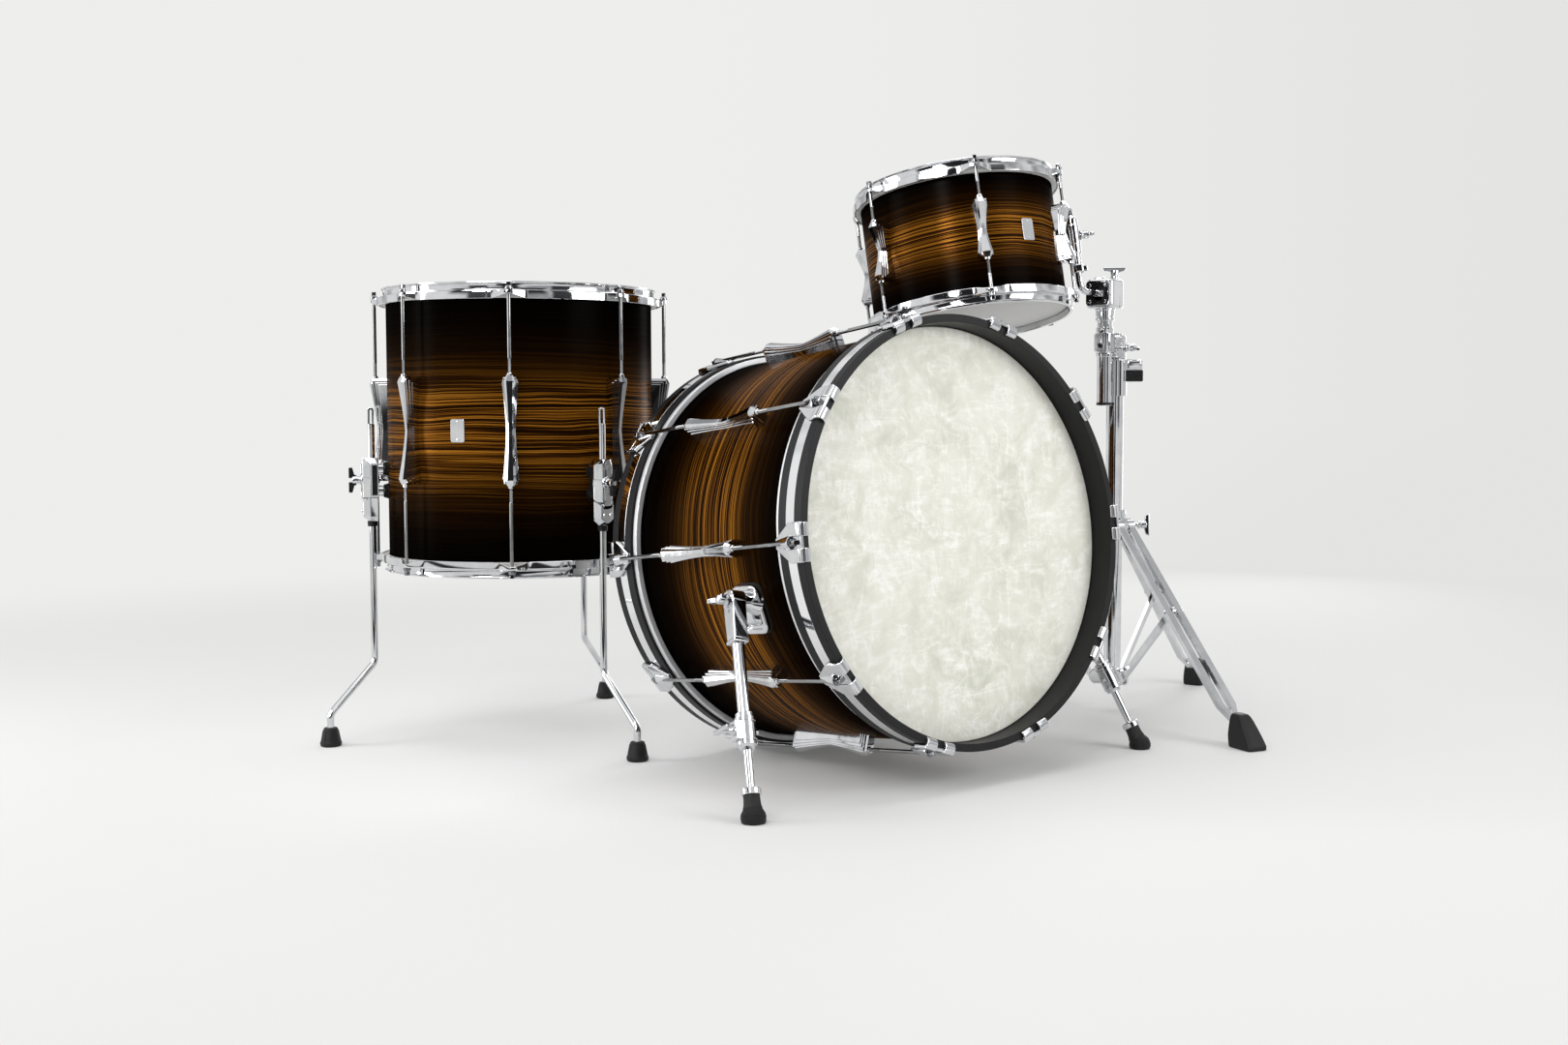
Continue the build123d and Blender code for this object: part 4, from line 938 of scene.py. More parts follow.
def wing_parts(place, shank, style):
    """A wing bolt: a turned hub with a flat tee, or with two looped wings whose hollows are painted dark as
    shade, or two dipped in black.
    """
    half = WING_SPAN / 2
    hub = lathe([
        (0.0, -shank), (3.4, -shank), (4.0, 0.6 - shank), (4.0, -2.4), (7.2, -2.2), (7.6, -1.6),
        (7.6, -0.5), (6.6, 0.2), (6.2, 2.0), (5.6, 2.6), (5.6, 4.0), (6.4, 4.6), (6.4, 10.4),
        (5.6, 12.2), (3.6, 13.0), (0.0, 13.2)], 28)
    parts = [(hub, place, CHROME)]
    if style == "tee":
        outline = mirrored([(4.6, 3.0), (5.0, 7.6), (half - 3.0, 10.4), (half, WING_HEIGHT)])
        return parts + [(soften(prism(outline, -2.9, 2.9, "Y"), 1.6, 3), place, RING_METAL)]
    for sense in (-1, 1):
        outline = [(sense * x, z) for x, z in (
            (4.0, 1.4), (11.0, 4.0), (half - 1.0, 7.2), (half, 8.4), (half, 15.8),
            (half - 1.2, WING_HEIGHT), (11.0, 13.6), (4.0, 11.6))]
        if style == "looped":
            inner = shrunk(outline, 0.56)
            parts.append((soften(hollow_prism(outline, inner, -2.9, 2.9, "Y"), 0.9, 2), place, CHROME))
            # painted shade: a dark sheet in the loop's hollow
            parts.append((prism(inner, -0.8, 0.8, "Y"), place, PAINTED_SHADE_METAL))
        else:
            dip = [(sense * x, z) for x, z in (
                (3.4, 4.6), (7.6, 6.0), (8.0, 8.6), (half, 11.6), (half, 16.0),
                (half - 0.8, WING_HEIGHT), (3.4, WING_HEIGHT))]
            parts.append((soften(prism(dip, -3.2, 3.2, "Y"), 0.9, 3), place, NYLON))
    return parts


WING_STYLES = {
    "looped": ("spur_wing_left", "spur_wing_right"),
    "dipped": ("floor_tom_wing_front", "floor_tom_wing_left", "floor_tom_wing_back"),
    "tee": ("stand_leg_wing", "stand_clamp_wing", "stand_ball_wing", "rack_tom_mount_wing"),
}
for style, nodes in WING_STYLES.items():
    for node in nodes:
        dressed(node + "_bolt", wing_parts(*wing_place(node), style), [node])

# Floor-tom brackets and legs, in a frame with X outward from the shell and Z up from the floor
LEG_CIRCLE = 228.0
LEG_RADIUS = 5.3
BRACKET_INNER = FLOOR_RADIUS + 15.0
BRACKET_OUTER = FLOOR_RADIUS + 39.0
BRACKET_LOW = 363.0
BRACKET_TOP = 431.0
LEG_TOP = 507.0
LEG_TIP = 25.0
LEG_KNEE = 117.0
LEG_LOW_BEND = 48.0
LEG_SPLAY = 86.0
LEG_BEND = 16.0
FOOT_RIBS = 8
# Angle round the tom, twist of the splayed foot, and turn of the slotted tip
LEGS = {"front": (FLOOR_BADGE + 57.0, 0.0, -30.0), "left": (FLOOR_BADGE - 57.0, 38.0, 80.0),
        "back": (FLOOR_BADGE + 180.0, 0.0, 20.0)}


def bracket_parts(place):
    """A tapered casting with a band, a boss, flank grooves and a front slot painted dark as shade, and two
    posts on rubber gaskets.
    """
    low, top, inner, outer = BRACKET_LOW, BRACKET_TOP, BRACKET_INNER, BRACKET_OUTER
    middle = (low + top) / 2
    sections = []
    for z, half in ((low, 8.0), (low + 9.0, 16.0), (top - 9.0, 16.0), (top, 8.0)):
        flank = outer - 1.5 - (half - 8.0) * 1.3
        sections.append([(x, y, z) for x, y in (
            (inner, -half), (flank, -half), (outer, -half / 2),
            (outer, half / 2), (flank, half), (inner, half))])
    body = soften(loft(sections), 1.2, 2)
    panel = soften(prism(
        mirrored([(3.0, low + 5.0), (5.6, low + 9.0), (5.6, top - 9.0), (3.0, top - 5.0)]),
        outer - 1.0, outer + 1.7, "X"), 0.6, 2)
    band = soften(prism(
        [(outer - 12.5, -17.0), (outer + 0.8, -8.6), (outer + 0.8, 8.6), (outer - 12.5, 17.0)],
        middle - 5.0, middle + 5.0), 0.8, 2)
    boss = turned_on_x([
        (4.2, outer - 8.0), (9.5, outer - 8.0), (9.5, outer + 1.2), (8.6, outer + 2.2), (4.2, outer + 2.2)],
        (0, 0, middle))
    parts = [(joined(body, panel, band, boss), place, CHROME)]
    for sense in (-1, 1):
        flank_pad = box((inner + 1.6, 15.0 * sense, low + 11.0),
                        (inner + 10.0, 16.3 * sense, top - 11.0), 0.2, 1)
        parts.append((flank_pad, place, NYLON))
        # painted shade: grooves in the flanks, as dark strips
        for start, end in ((0.1, 0.34), (0.58, 0.82)):
            groove = [(outer - 11.9 * (1 - share) + 0.56 * lift, (16.0 - 8.0 * share + 0.83 * lift) * sense)
                      for share, lift in ((start, 0.2), (end, 0.2), (end, -1.0), (start, -1.0))]
            for bottom, ceiling in ((low + 11.0, middle - 6.4), (middle + 6.4, top - 11.0)):
                parts.append((prism(groove, bottom, ceiling), place, PAINTED_SHADE_METAL))
    # painted shade: a slot down the front panel, as a dark strip
    for bottom, ceiling in ((low + 10.0, middle - 10.4), (middle + 10.4, top - 10.0)):
        parts.append((box((outer, -2.6, bottom), (outer + 1.9, 2.6, ceiling), 0.2, 1), place, PAINTED_SHADE_METAL))
    shell = FLOOR_RADIUS
    for z in (low + 17.0, top - 17.0):
        post = turned_on_x([
            (0.0, shell - 1.5), (6.0, shell - 1.5), (6.0, 211.0), (8.6, 211.2), (8.6, inner + 0.5),
            (0.0, inner + 0.5)], (0, 0, z))
        gasket = turned_on_x([
            (6.0, shell - 1.0), (11.8, shell - 0.6), (11.8, 205.0), (10.6, 205.6), (11.2, 206.4),
            (11.2, 207.2), (10.0, 207.8), (10.4, 208.6), (9.6, 210.6), (6.0, 211.0)], (0, 0, z))
        parts += [(post, place, CHROME), (gasket, place, RUBBER)]
    return parts


def leg_parts(place, twist, tip_turn):
    """A bent leg with its slotted tip, memory lock and sleeve, and the centre of its foot."""
    foot_x = LEG_CIRCLE + LEG_SPLAY * cos(radians(twist))
    foot_y = LEG_SPLAY * sin(radians(twist))
    tip_low = LEG_TOP - LEG_TIP
    on_leg = shifted(LEG_CIRCLE, 0, 0)
    rod = bar_along(rounded_route([
        (LEG_CIRCLE, 0, tip_low), (LEG_CIRCLE, 0, LEG_KNEE), (foot_x, foot_y, LEG_LOW_BEND),
        (foot_x, foot_y, 6.0)], LEG_BEND), LEG_RADIUS)
    loop = soften(hollow_prism(
        [(-4.5, tip_low - 1.0), (4.5, tip_low - 1.0), (4.5, LEG_TOP - 2.6), (2.6, LEG_TOP), (-2.6, LEG_TOP),
         (-4.5, LEG_TOP - 2.6)],
        [(-1.6, tip_low + 1.5), (1.6, tip_low + 1.5), (1.6, LEG_TOP - 4.2), (1.0, LEG_TOP - 3.2),
         (-1.0, LEG_TOP - 3.2), (-1.6, LEG_TOP - 4.2)], -2.8, 2.8, "X"), 0.5, 2)
    outline = mirrored([(8.0, 334.0), (16.0, 341.0), (16.0, 371.0), (8.0, 362.0)])
    lock = joined(
        soften(prism(outline, BRACKET_INNER + 1.0, 231.0, "X"), 1.0, 2),
        soften(prism(outline, 230.8, BRACKET_OUTER - 0.6, "X", 0.66), 1.0, 2))
    screws = [turned_on_x([(0.0, 0.0), (3.0, 0.0), (3.0, 1.6), (2.2, 2.6), (0.0, 2.9)],
                          (BRACKET_OUTER - 1.0, side, 350.0), 20) for side in (-5.2, 5.2)]
    sleeve = lathe([(LEG_RADIUS, 326.0), (7.2, 326.4), (7.6, 334.5), (LEG_RADIUS, 334.5)], 32)
    return [(joined(rod, lock, *screws), place, CHROME), (loop, place @ on_leg @ turned(tip_turn), CHROME),
            (sleeve, place @ on_leg, NYLON)], (foot_x, foot_y, 0.0)


def leg_foot_shape():
    """A tapered rubber foot, open where the leg enters it."""
    return lathe([
        (0.0, FLOOR_GAP), (13.8, FLOOR_GAP), (15.4, 1.4), (16.0, 4.5), (15.6, 7.0), (14.2, 8.4), (11.0, 24.0),
        (10.4, 27.0), (9.0, 28.0), (LEG_RADIUS, 28.0)], 48, closed=False)


def foot_rib_shape():
    """One rib down the flank of a rubber foot."""
    return soften(loft([[(x - 1.5, -y, z), (x + 0.9, -y, z), (x + 0.9, y, z), (x - 1.5, y, z)]
                        for x, y, z in ((14.0, 1.6, 7.6), (10.9, 1.2, 24.0))]), 0.5, 2)


floor_axis = shifted(FLOOR_TOM.x, FLOOR_TOM.y, 0.0)
bracket_rows = []
for name, (angle, twist, tip_turn) in LEGS.items():
    leg_place = floor_axis @ turned(angle)
    bracket_rows += bracket_parts(leg_place)
    rows, foot_centre = leg_parts(leg_place, twist, tip_turn)
    dressed("floor_tom_leg_" + name + "_bar", rows, ["floor_tom_leg_" + name])
    foot_place = leg_place @ shifted(*foot_centre)
    dressed("floor_tom_foot_" + name + "_cap", [
        (shape, foot_place, RUBBER) for shape in (leg_foot_shape(), ring_of(foot_rib_shape(), FOOT_RIBS))],
        ["floor_tom_foot_" + name])
dressed("floor_tom_leg_bracket_set", bracket_rows, ["floor_tom_leg_brackets"])

# Spurs: SPUR_SEAT has X out of the bass shell; SPUR_LINE has X along the pivot and Z down the spur
SPUR_ANGLE = 196.4
SPUR_SET_BACK = 137.0
SPUR_SEAT = BASS_PLACE @ turned(SPUR_ANGLE) @ shifted(0, 0, BASS_HALF - SPUR_SET_BACK)
spur_pivot = SPUR_SEAT @ Vector((BASS_RADIUS + 31.6, -21.4, 6.8))
spur_foot = Vector((BASS_FRONT.x - 364.0, -406.0, 0.0))
SPUR_LENGTH = (spur_foot - spur_pivot).length
SPUR_LINE = frame_at(spur_pivot, SPUR_SEAT.col[0].to_3d(), spur_foot - spur_pivot)
SPUR_COLLAR_END = SPUR_LENGTH - 35.0
SPUR_EYE_TEETH = 36
SPUR_SCREW = 173.0
SPUR_ROD_TOP = 104.0
SPUR_FOOT_LENGTH = 40.0
# Share of the way down a spur's foot, and its radius there
SPUR_FOOT_CURVE = ((0.0, 10.4), (0.12, 10.4), (0.3, 11.0), (0.45, 12.6), (0.58, 15.4), (0.68, 16.0),
                   (0.82, 15.4), (0.93, 13.2), (1.0, 9.5))
SPUR_FOOT_RINGS = 60
SPUR_FOOT_GROOVE = 0.55
BASS_MIRROR = shifted(2 * BASS_FRONT.x, 0, 0) @ Matrix.Scale(-1, 4, (1, 0, 0))


def spur_bracket_parts():
    out = BASS_RADIUS
    seal = prism(rounded_outline(34.4, 27.9, 13.6), out - 2.6, out + 1.6, "X")
    rim = soften(hollow_prism(
        rounded_outline(33.4, 26.9, 13.0), rounded_outline(26.4, 19.9, 8.0),
        out + 1.4, out + 9.6, "X"), 2.4, 3)
    dish = prism(rounded_outline(27.4, 20.9, 8.4), out + 1.4, out + 5.0, "X")
    dome = soften(prism(rounded_outline(24.0, 17.4, 10.0), out + 4.8, out + 15.0, "X", 0.68), 3.0, 3)
    boss = turned_on_x([
        (0.0, -33.0), (17.0, -33.0), (15.0, -27.0), (12.6, -22.0), (12.0, -18.0), (12.0, -11.4),
        (11.0, -10.4), (0.0, -10.4)])
    return [(seal, SPUR_SEAT, RUBBER), (joined(rim, dish, dome), SPUR_SEAT, CHROME),
            (boss, SPUR_LINE, CHROME)]


def spur_arm_parts():
    eye = turned_on_x([
        (4.2, -10.0), (13.2, -10.0), (14.0, -9.2), (14.0, 8.8), (13.0, 10.0), (11.0, 10.0),
        (10.6, 9.3), (8.8, 9.3), (8.4, 10.0), (4.2, 10.0)], steps=56)
    tooth = prism([(12.0, -0.5), (13.9, -0.75), (13.9, 0.75), (12.0, 0.5)], -10.35, -9.6)
    teeth = ring_of(tooth, SPUR_EYE_TEETH)
    cheek = soften(loft([
        [(-10.0, -half, z), (end, -half, z), (end, half, z), (-10.0, half, z)]
        for z, half, end in ((0.0, 13.6, 9.6), (30.0, 12.2, 10.0), (54.0, 10.6, 10.0))]), 2.0, 3)
    lip = box((-11.0, -11.6, 52.5), (11.0, 11.6, 58.0), 1.6, 3)
    pipe = tube(6.0, 8.0, 50.0, 176.0, 40)
    clamp = lathe([
        (7.9, 150.0), (10.6, 150.0), (11.4, 150.8), (11.4, 155.0), (13.0, 156.0), (13.0, 160.5),
        (12.2, 161.2), (12.2, 162.8), (13.0, 163.5), (13.0, 184.0), (12.2, 184.8), (12.2, 186.6),
        (13.0, 187.4), (13.0, 191.0), (11.0, 193.0), (10.0, 196.0), (5.6, 196.0)], 48)
    ear = box((6.0, -8.5, 160.0), (18.0, 8.5, 186.0), 2.2, 3)
    nut = turned_on_x([(0.0, -17.0), (3.4, -17.0), (4.4, -16.0), (4.4, -12.0), (0.0, -12.0)],
                      (0, 0, SPUR_SCREW), 6)
    screw_place = SPUR_LINE @ frame_at((19.6, 0, SPUR_SCREW), (0, 1, 0), (1, 0, 0))
    return [(joined(eye, cheek, lip, pipe, clamp, ear, nut), SPUR_LINE, CHROME),
            (teeth, SPUR_LINE @ FACING["X"], CHROME)] + wing_parts(screw_place, 10.0, "tee")


def spur_rod_parts():
    top, end = SPUR_ROD_TOP, SPUR_COLLAR_END
    rod = lathe([
        (0.0, top), (5.0, top), (5.5, top + 1.0), (5.5, end - 26.0), (5.1, end - 25.0), (5.1, end - 9.0),
        (11.6, end - 8.0), (12.5, end - 7.2), (12.5, end - 0.8), (11.8, end), (0.0, end)], 40)
    return [(rod, SPUR_LINE, CHROME)]


def spur_foot_shape():
    """A rubber bulb ringed with grooves, flat where it meets the floor."""
    profile = [(0.0, 0.0)]
    for (start, first), (stop, last) in zip(SPUR_FOOT_CURVE, SPUR_FOOT_CURVE[1:]):
        steps = max(2, round((stop - start) * SPUR_FOOT_RINGS))
        for step in range(steps):
            share = start + (stop - start) * step / steps
            grooved = share > 0.4 and int(share * SPUR_FOOT_RINGS) % 3 == 0
            radius = first + (last - first) * step / steps - (SPUR_FOOT_GROOVE if grooved else 0.0)
            profile.append((radius, share * SPUR_FOOT_LENGTH))
    profile += [(last, SPUR_FOOT_LENGTH), (0.0, SPUR_FOOT_LENGTH)]
    return above_floor(moved(lathe(profile, 48), SPUR_LINE @ shifted(0, 0, SPUR_COLLAR_END)))


spur_bracket_rows = []
for side, mirror in (("left", IDENTITY), ("right", BASS_MIRROR)):
    spur_bracket_rows += carried(spur_bracket_parts(), mirror)
    for node, rows in (("spur_arm_", spur_arm_parts()), ("spur_rod_", spur_rod_parts()),
                       ("spur_foot_", [(spur_foot_shape(), IDENTITY, RUBBER)])):
        dressed(node + side + "_set", carried(rows, mirror), [node + side])
dressed("spur_bracket_set", spur_bracket_rows, ["spur_brackets"])

# Rack-tom mount and arm; MOUNT has X out of the shell and Z along the sleeve
MOUNT = RACK_PLACE @ turned(RACK_BADGE + 60.0)
SLEEVE_X = RACK_RADIUS + 30.0
ON_SLEEVE = shifted(SLEEVE_X, 0, 0)
ARM_RADIUS = 5.5
ARM_BEND = 16.0
ARM_TOP = MOUNT @ Vector((SLEEVE_X, 0, 44.0))
ARM_CORNER = MOUNT @ Vector((SLEEVE_X, 0, -76.0))
BALL_RADIUS = 16.0
CLAMP_ANGLE = -162.7
CLAMP = STAND_PLACE @ turned(CLAMP_ANGLE)
POST_OFFSET = 44.6
HOLDER_HEIGHT = 689.5
HOLDER_CENTRE = Vector((STAND.x + POST_OFFSET * cos(radians(CLAMP_ANGLE)),
                        STAND.y + POST_OFFSET * sin(radians(CLAMP_ANGLE)), HOLDER_HEIGHT))


def mount_parts():
    out = RACK_RADIUS
    seal = prism(rounded_outline(18.8, 33.8, 8.6), out - 1.6, out + 1.4, "X")
    plate = soften(prism(rounded_outline(18.0, 33.0, 8.0), out + 1.2, out + 6.4, "X", 0.94), 1.6, 3)
    web = box((out + 4.0, -6.2, -15.0), (SLEEVE_X - 4.0, 6.2, 40.0), 2.0, 3)
    sleeve = moved(lathe([
        (5.6, 43.0), (7.2, 43.0), (9.2, 41.4), (9.5, 40.0), (9.5, 31.0), (10.4, 30.0), (10.4, 0.0),
        (9.5, -1.0), (9.5, -14.6), (8.6, -16.0), (7.4, -16.6), (7.4, -26.0), (6.8, -26.8),
        (6.8, -28.2), (7.4, -29.0), (7.4, -33.0), (5.6, -33.0)], 40), ON_SLEEVE)
    bolt = recalculated(moved(lathe([
        (0.0, 8.0), (3.4, 8.0), (3.4, 14.0), (4.4, 14.4), (4.4, 18.0), (3.6, 19.0), (0.0, 19.2)], 6),
        shifted(SLEEVE_X, 0, -8.0) @ FACING["Y"] @ Matrix.Scale(-1, 4, (0, 0, 1))))
    screws = [turned_on_x([(0.0, 0.0), (3.2, 0.0), (3.2, 1.4), (2.2, 2.4), (0.0, 2.6)],
                          (out + 6.2, side, z), 20) for side in (-11.0, 11.0) for z in (-24.0, 24.0)]
    return [(seal, MOUNT, RUBBER), (joined(plate, web, sleeve, bolt, *screws), MOUNT, CHROME)]


def arm_parts():
    rod = bar_along(rounded_route([ARM_TOP, ARM_CORNER, HOLDER_CENTRE], ARM_BEND, 12), ARM_RADIUS)
    tip = moved(lathe([
        (0.0, 43.5), (ARM_RADIUS, 43.5), (ARM_RADIUS, 45.0), (4.4, 46.4), (3.8, 57.0), (2.8, 59.4),
        (0.0, 60.0)], 28), ON_SLEEVE)
    lock = moved(lathe([
        (ARM_RADIUS, -47.0), (8.6, -47.0), (10.4, -45.4), (10.4, -35.0), (8.8, -33.2),
        (ARM_RADIUS, -33.2)], 6), ON_SLEEVE)
    ear = box((SLEEVE_X + 6.0, -4.5, -44.5), (SLEEVE_X + 15.0, 4.5, -36.0), 1.4, 2)
    ball = bmesh.new()
    bmesh.ops.create_uvsphere(ball, u_segments=40, v_segments=24, radius=BALL_RADIUS)
    return [(rod, IDENTITY, CHROME), (joined(tip, soften(lock, 0.8, 2), ear), MOUNT, CHROME),
            (ball, shifted(*HOLDER_CENTRE), CHROME)]


dressed("rack_tom_mount_set", mount_parts(), ["rack_tom_mount"])
dressed("rack_tom_arm_bar", arm_parts(), ["rack_tom_arm"])

# Stand head; HOLDER has -X towards the rack tom
HOLDER_TURN = 12.0
HOLDER = shifted(*HOLDER_CENTRE) @ turned(HOLDER_TURN)
POST = shifted(HOLDER_CENTRE.x, HOLDER_CENTRE.y, 0.0)
HEIGHT_COLLAR = STAND_PLACE @ turned(-40.0)
BARREL_FLUTES = 28


def ball_holder_parts():
    """A rounded cube round the ball, with a bolted liner in front and a split at one side painted dark as
    shade.
    """
    half = 24.0
    tall = 23.5
    face = -half
    body = soften(prism(rounded_outline(half, half, 10.0), -tall, tall), 5.0, 4, 60.0)
    dome = soften(prism(rounded_outline(13.0, 10.0, 8.0), 0.0, 4.6, "Z", 0.6), 1.6, 3)
    dome = moved(dome, shifted(-9.0, 4.0, tall - 0.6))
    neck = lathe([
        (12.1, -43.5), (14.2, -43.5), (15.0, -42.4), (15.0, -38.0), (13.6, -37.2), (13.6, -35.6),
        (15.0, -34.8), (15.0, -27.0), (16.6, -25.4), (16.6, -22.8), (12.1, -22.8)], 40)
    rim = soften(hollow_prism(
        rounded_outline(21.0, 20.4, 6.0), rounded_outline(18.2, 17.6, 4.4),
        face - 1.6, face + 2.0, "X"), 0.7, 2)
    liner = rounded_outline(18.0, 17.4, 4.2, 8)
    mouth = [(10.5 * cos(turn), 10.5 * sin(turn) - 1.0) for turn in turns(len(liner), 0.5)]
    plate = soften(hollow_prism(liner, mouth, face - 1.0, face + 6.0, "X"), 0.6, 2)
    bolts = [turned_on_x([
        (0.0, face + 1.0), (2.6, face + 1.0), (2.6, face - 1.8), (1.8, face - 2.6), (0.0, face - 2.6)],
        (0, side, z), 16) for side in (-13.6, 13.6) for z in (-13.0, 13.0)]
    # painted shade: the split at one side, as dark strips
    seam = box((face + 3.0, face - 0.25, -3.0), (6.0, face + 1.0, -2.0), 0.2, 1)
    drop = box((5.0, face - 0.25, 2.0 - tall), (6.0, face + 1.0, -2.0), 0.2, 1)
    return [(joined(body, dome, neck, rim), HOLDER, CHROME), (plate, HOLDER, NYLON),
            (joined(*bolts), HOLDER, CHROME), (joined(seam, drop), HOLDER, PAINTED_SHADE_METAL)]


def side_clamp_parts():
    """A block on the tube with ribbed cheeks, and a fluted barrel that grips the post."""
    block = lathe([
        (11.1, 585.0), (15.6, 585.0), (17.0, 586.4), (17.0, 622.6), (15.6, 624.0), (11.1, 624.0)], 48)
    bridge = box((6.0, -15.0, 587.0), (40.0, 15.0, 622.0), 2.4, 3)
    barrel = lathe([
        (12.1, 588.0), (13.0, 588.0), (13.8, 589.0), (13.8, 593.0), (13.0, 594.0), (15.0, 596.0),
        (15.8, 604.0), (15.8, 616.0), (15.0, 626.0), (13.4, 628.0), (14.0, 629.0), (14.0, 634.6),
        (12.8, 636.0), (12.1, 636.0)], 48)
    flute = soften(prism([(-0.8, 14.6), (0.8, 14.6), (0.5, 16.5), (-0.5, 16.5)], 597.0, 625.0), 0.2, 1)
    ribs = [box((4.0, side, z), (38.0, side + 1.8, z + 3.4), 0.6, 2)
            for side in (-17.0, 15.2) for z in (589.0, 596.0, 603.0, 610.0, 617.0)]
    stud = turned_on_x([(0.0, 58.0), (4.0, 58.0), (4.0, 64.0), (3.0, 65.4), (0.0, 65.4)], (0, 0, 606.0), 20)
    return [(joined(block, bridge, *ribs), CLAMP, CHROME), (barrel, POST, CHROME),
            (ring_of(flute, BARREL_FLUTES), POST, CHROME), (stud, CLAMP, NYLON)]


def height_collar_detail_parts():
    place = HEIGHT_COLLAR
    insert = box((15.0, -14.6, 548.6), (43.6, 14.6, 567.4), 1.6, 2)
    dome = box((15.0, -14.2, 566.4), (43.2, 14.2, 585.0), 6.0, 4)
    bolt = turned_on_x([(0.0, 40.0), (4.6, 40.0), (4.6, 44.0), (3.6, 45.2), (0.0, 45.4)], (0, 0, 557.5), 6)
    return [(insert, place, NYLON), (dome, place, CHROME), (bolt, place, CHROME)]


def post_detail_parts():
    cap = lathe([(0.0, 509.0), (11.0, 509.0), (12.4, 510.0), (12.4, 514.0), (0.0, 514.0)], 36)
    return [(cap, POST, NYLON)]


STAND_LEG_ANGLES = {"front": -105.7, "right": 14.3, "back": 134.3}
BOOT_HEEL = 327.5
BOOT_TOE = 378.5
BOOT_HEIGHT = 50.0
BOOT_SOLE = 7.0
# Height, inset and corner radius of each ring of a boot
BOOT_RINGS = (
    (FLOOR_GAP, 2.0, 5.0), (1.0, 0.7, 6.0), (2.6, 0.0, 6.5), (BOOT_SOLE, 0.0, 6.5), (18.0, 0.0, 6.5),
    (30.0, 0.0, 6.5), (40.0, 0.0, 6.0), (46.0, 0.3, 6.0), (48.8, 1.4, 5.5), (BOOT_HEIGHT, 3.6, 4.5))


def boot_shape():
    """A rubber boot: a rounded wedge that leans from a long sole to a short top."""
    rings = []
    for z, inset, corner in BOOT_RINGS:
        rise = max(0.0, z - BOOT_SOLE) / (BOOT_HEIGHT - BOOT_SOLE)
        swell = 2.4 * rise * (1 - rise)
        heel = BOOT_HEEL - 5.0 * min(1.0, z / 20.0) + inset
        toe = BOOT_TOE - 32.0 * rise + 2 * swell - inset
        half_width = 17.5 - 7.0 * rise + swell - inset
        outline = rounded_outline((toe - heel) / 2, half_width, corner)
        rings.append([(x + (heel + toe) / 2, y, z) for x, y in outline])
    return loft(rings)


# Nodes whose solids have the right shape: rounded copies, with the details that ride on them
DETAILS = {"stand_height_collar": height_collar_detail_parts,
           "stand_post": post_detail_parts}
ROUNDING = {
    "stand_base": 0.8, "stand_leg_collar": 1.4,
    "stand_leg_front": 2.2, "stand_leg_right": 2.2, "stand_leg_back": 2.2,
    "stand_brace_front": 1.2, "stand_brace_right": 1.2, "stand_brace_back": 1.2,
    "stand_height_collar": 4.0, "stand_upper_tube": 0.5, "stand_post": 0.5,
}
for node, width in ROUNDING.items():
    copy = above_floor(soften(solid_copy(node), width, 3, 30.0))
    details = DETAILS[node]() if node in DETAILS else []
    dressed(node + "_set", [(copy, IDENTITY, CHROME)] + details, [node])
for name, angle in STAND_LEG_ANGLES.items():
    node = "stand_boot_" + name
    dressed(node + "_set", [(boot_shape(), STAND_PLACE @ turned(angle), RUBBER)], [node])
dressed("stand_ball_holder_set", ball_holder_parts(), ["stand_ball_holder"])
dressed("stand_side_clamp_set", side_clamp_parts(), ["stand_side_clamp"])

# Studio: pale floor, soft lamps, a world that is pale behind and broken by dark panels in reflections
# The backdrop is painted lighter at the left and darker at the right: painted light and shade, as the light
# falls on it
BACKDROP_RIGHT = rgb(0.775, 0.775, 0.765)
BACKDROP_LEFT = rgb(0.855, 0.855, 0.84)
DARKNESS = rgb(0.02, 0.02, 0.022)
# Azimuth, half width and depth of the dark panels that polished metal mirrors
DARK_PANELS = ((-154.0, 8.0, 0.9), (-128.0, 7.0, 0.95), (-84.0, 10.0, 0.95), (38.0, 8.0, 0.6))
CAMERA_AZIMUTH = -138.0
WINDOW_AZIMUTH = -153.0
LEFT_WALL_AZIMUTH = 146.0
FLOOR_HALF = 60.0
FRONT_OF_SET = (-0.665, -0.747, 0.0)
ASIDE_OF_SET = (0.747, -0.665, 0.0)


def backdrop_tone(graph, way):
    parts = graph.node("ShaderNodeSeparateXYZ", inputs={0: way})
    azimuth = parts.math("ARCTAN2", parts.out("Y"), parts.out("X")) * (180 / pi)
    right = azimuth.between(-120.0, -60.0) * (1 - azimuth.between(25.0, 55.0))
    return graph.blend(right, BACKDROP_LEFT, BACKDROP_RIGHT), azimuth


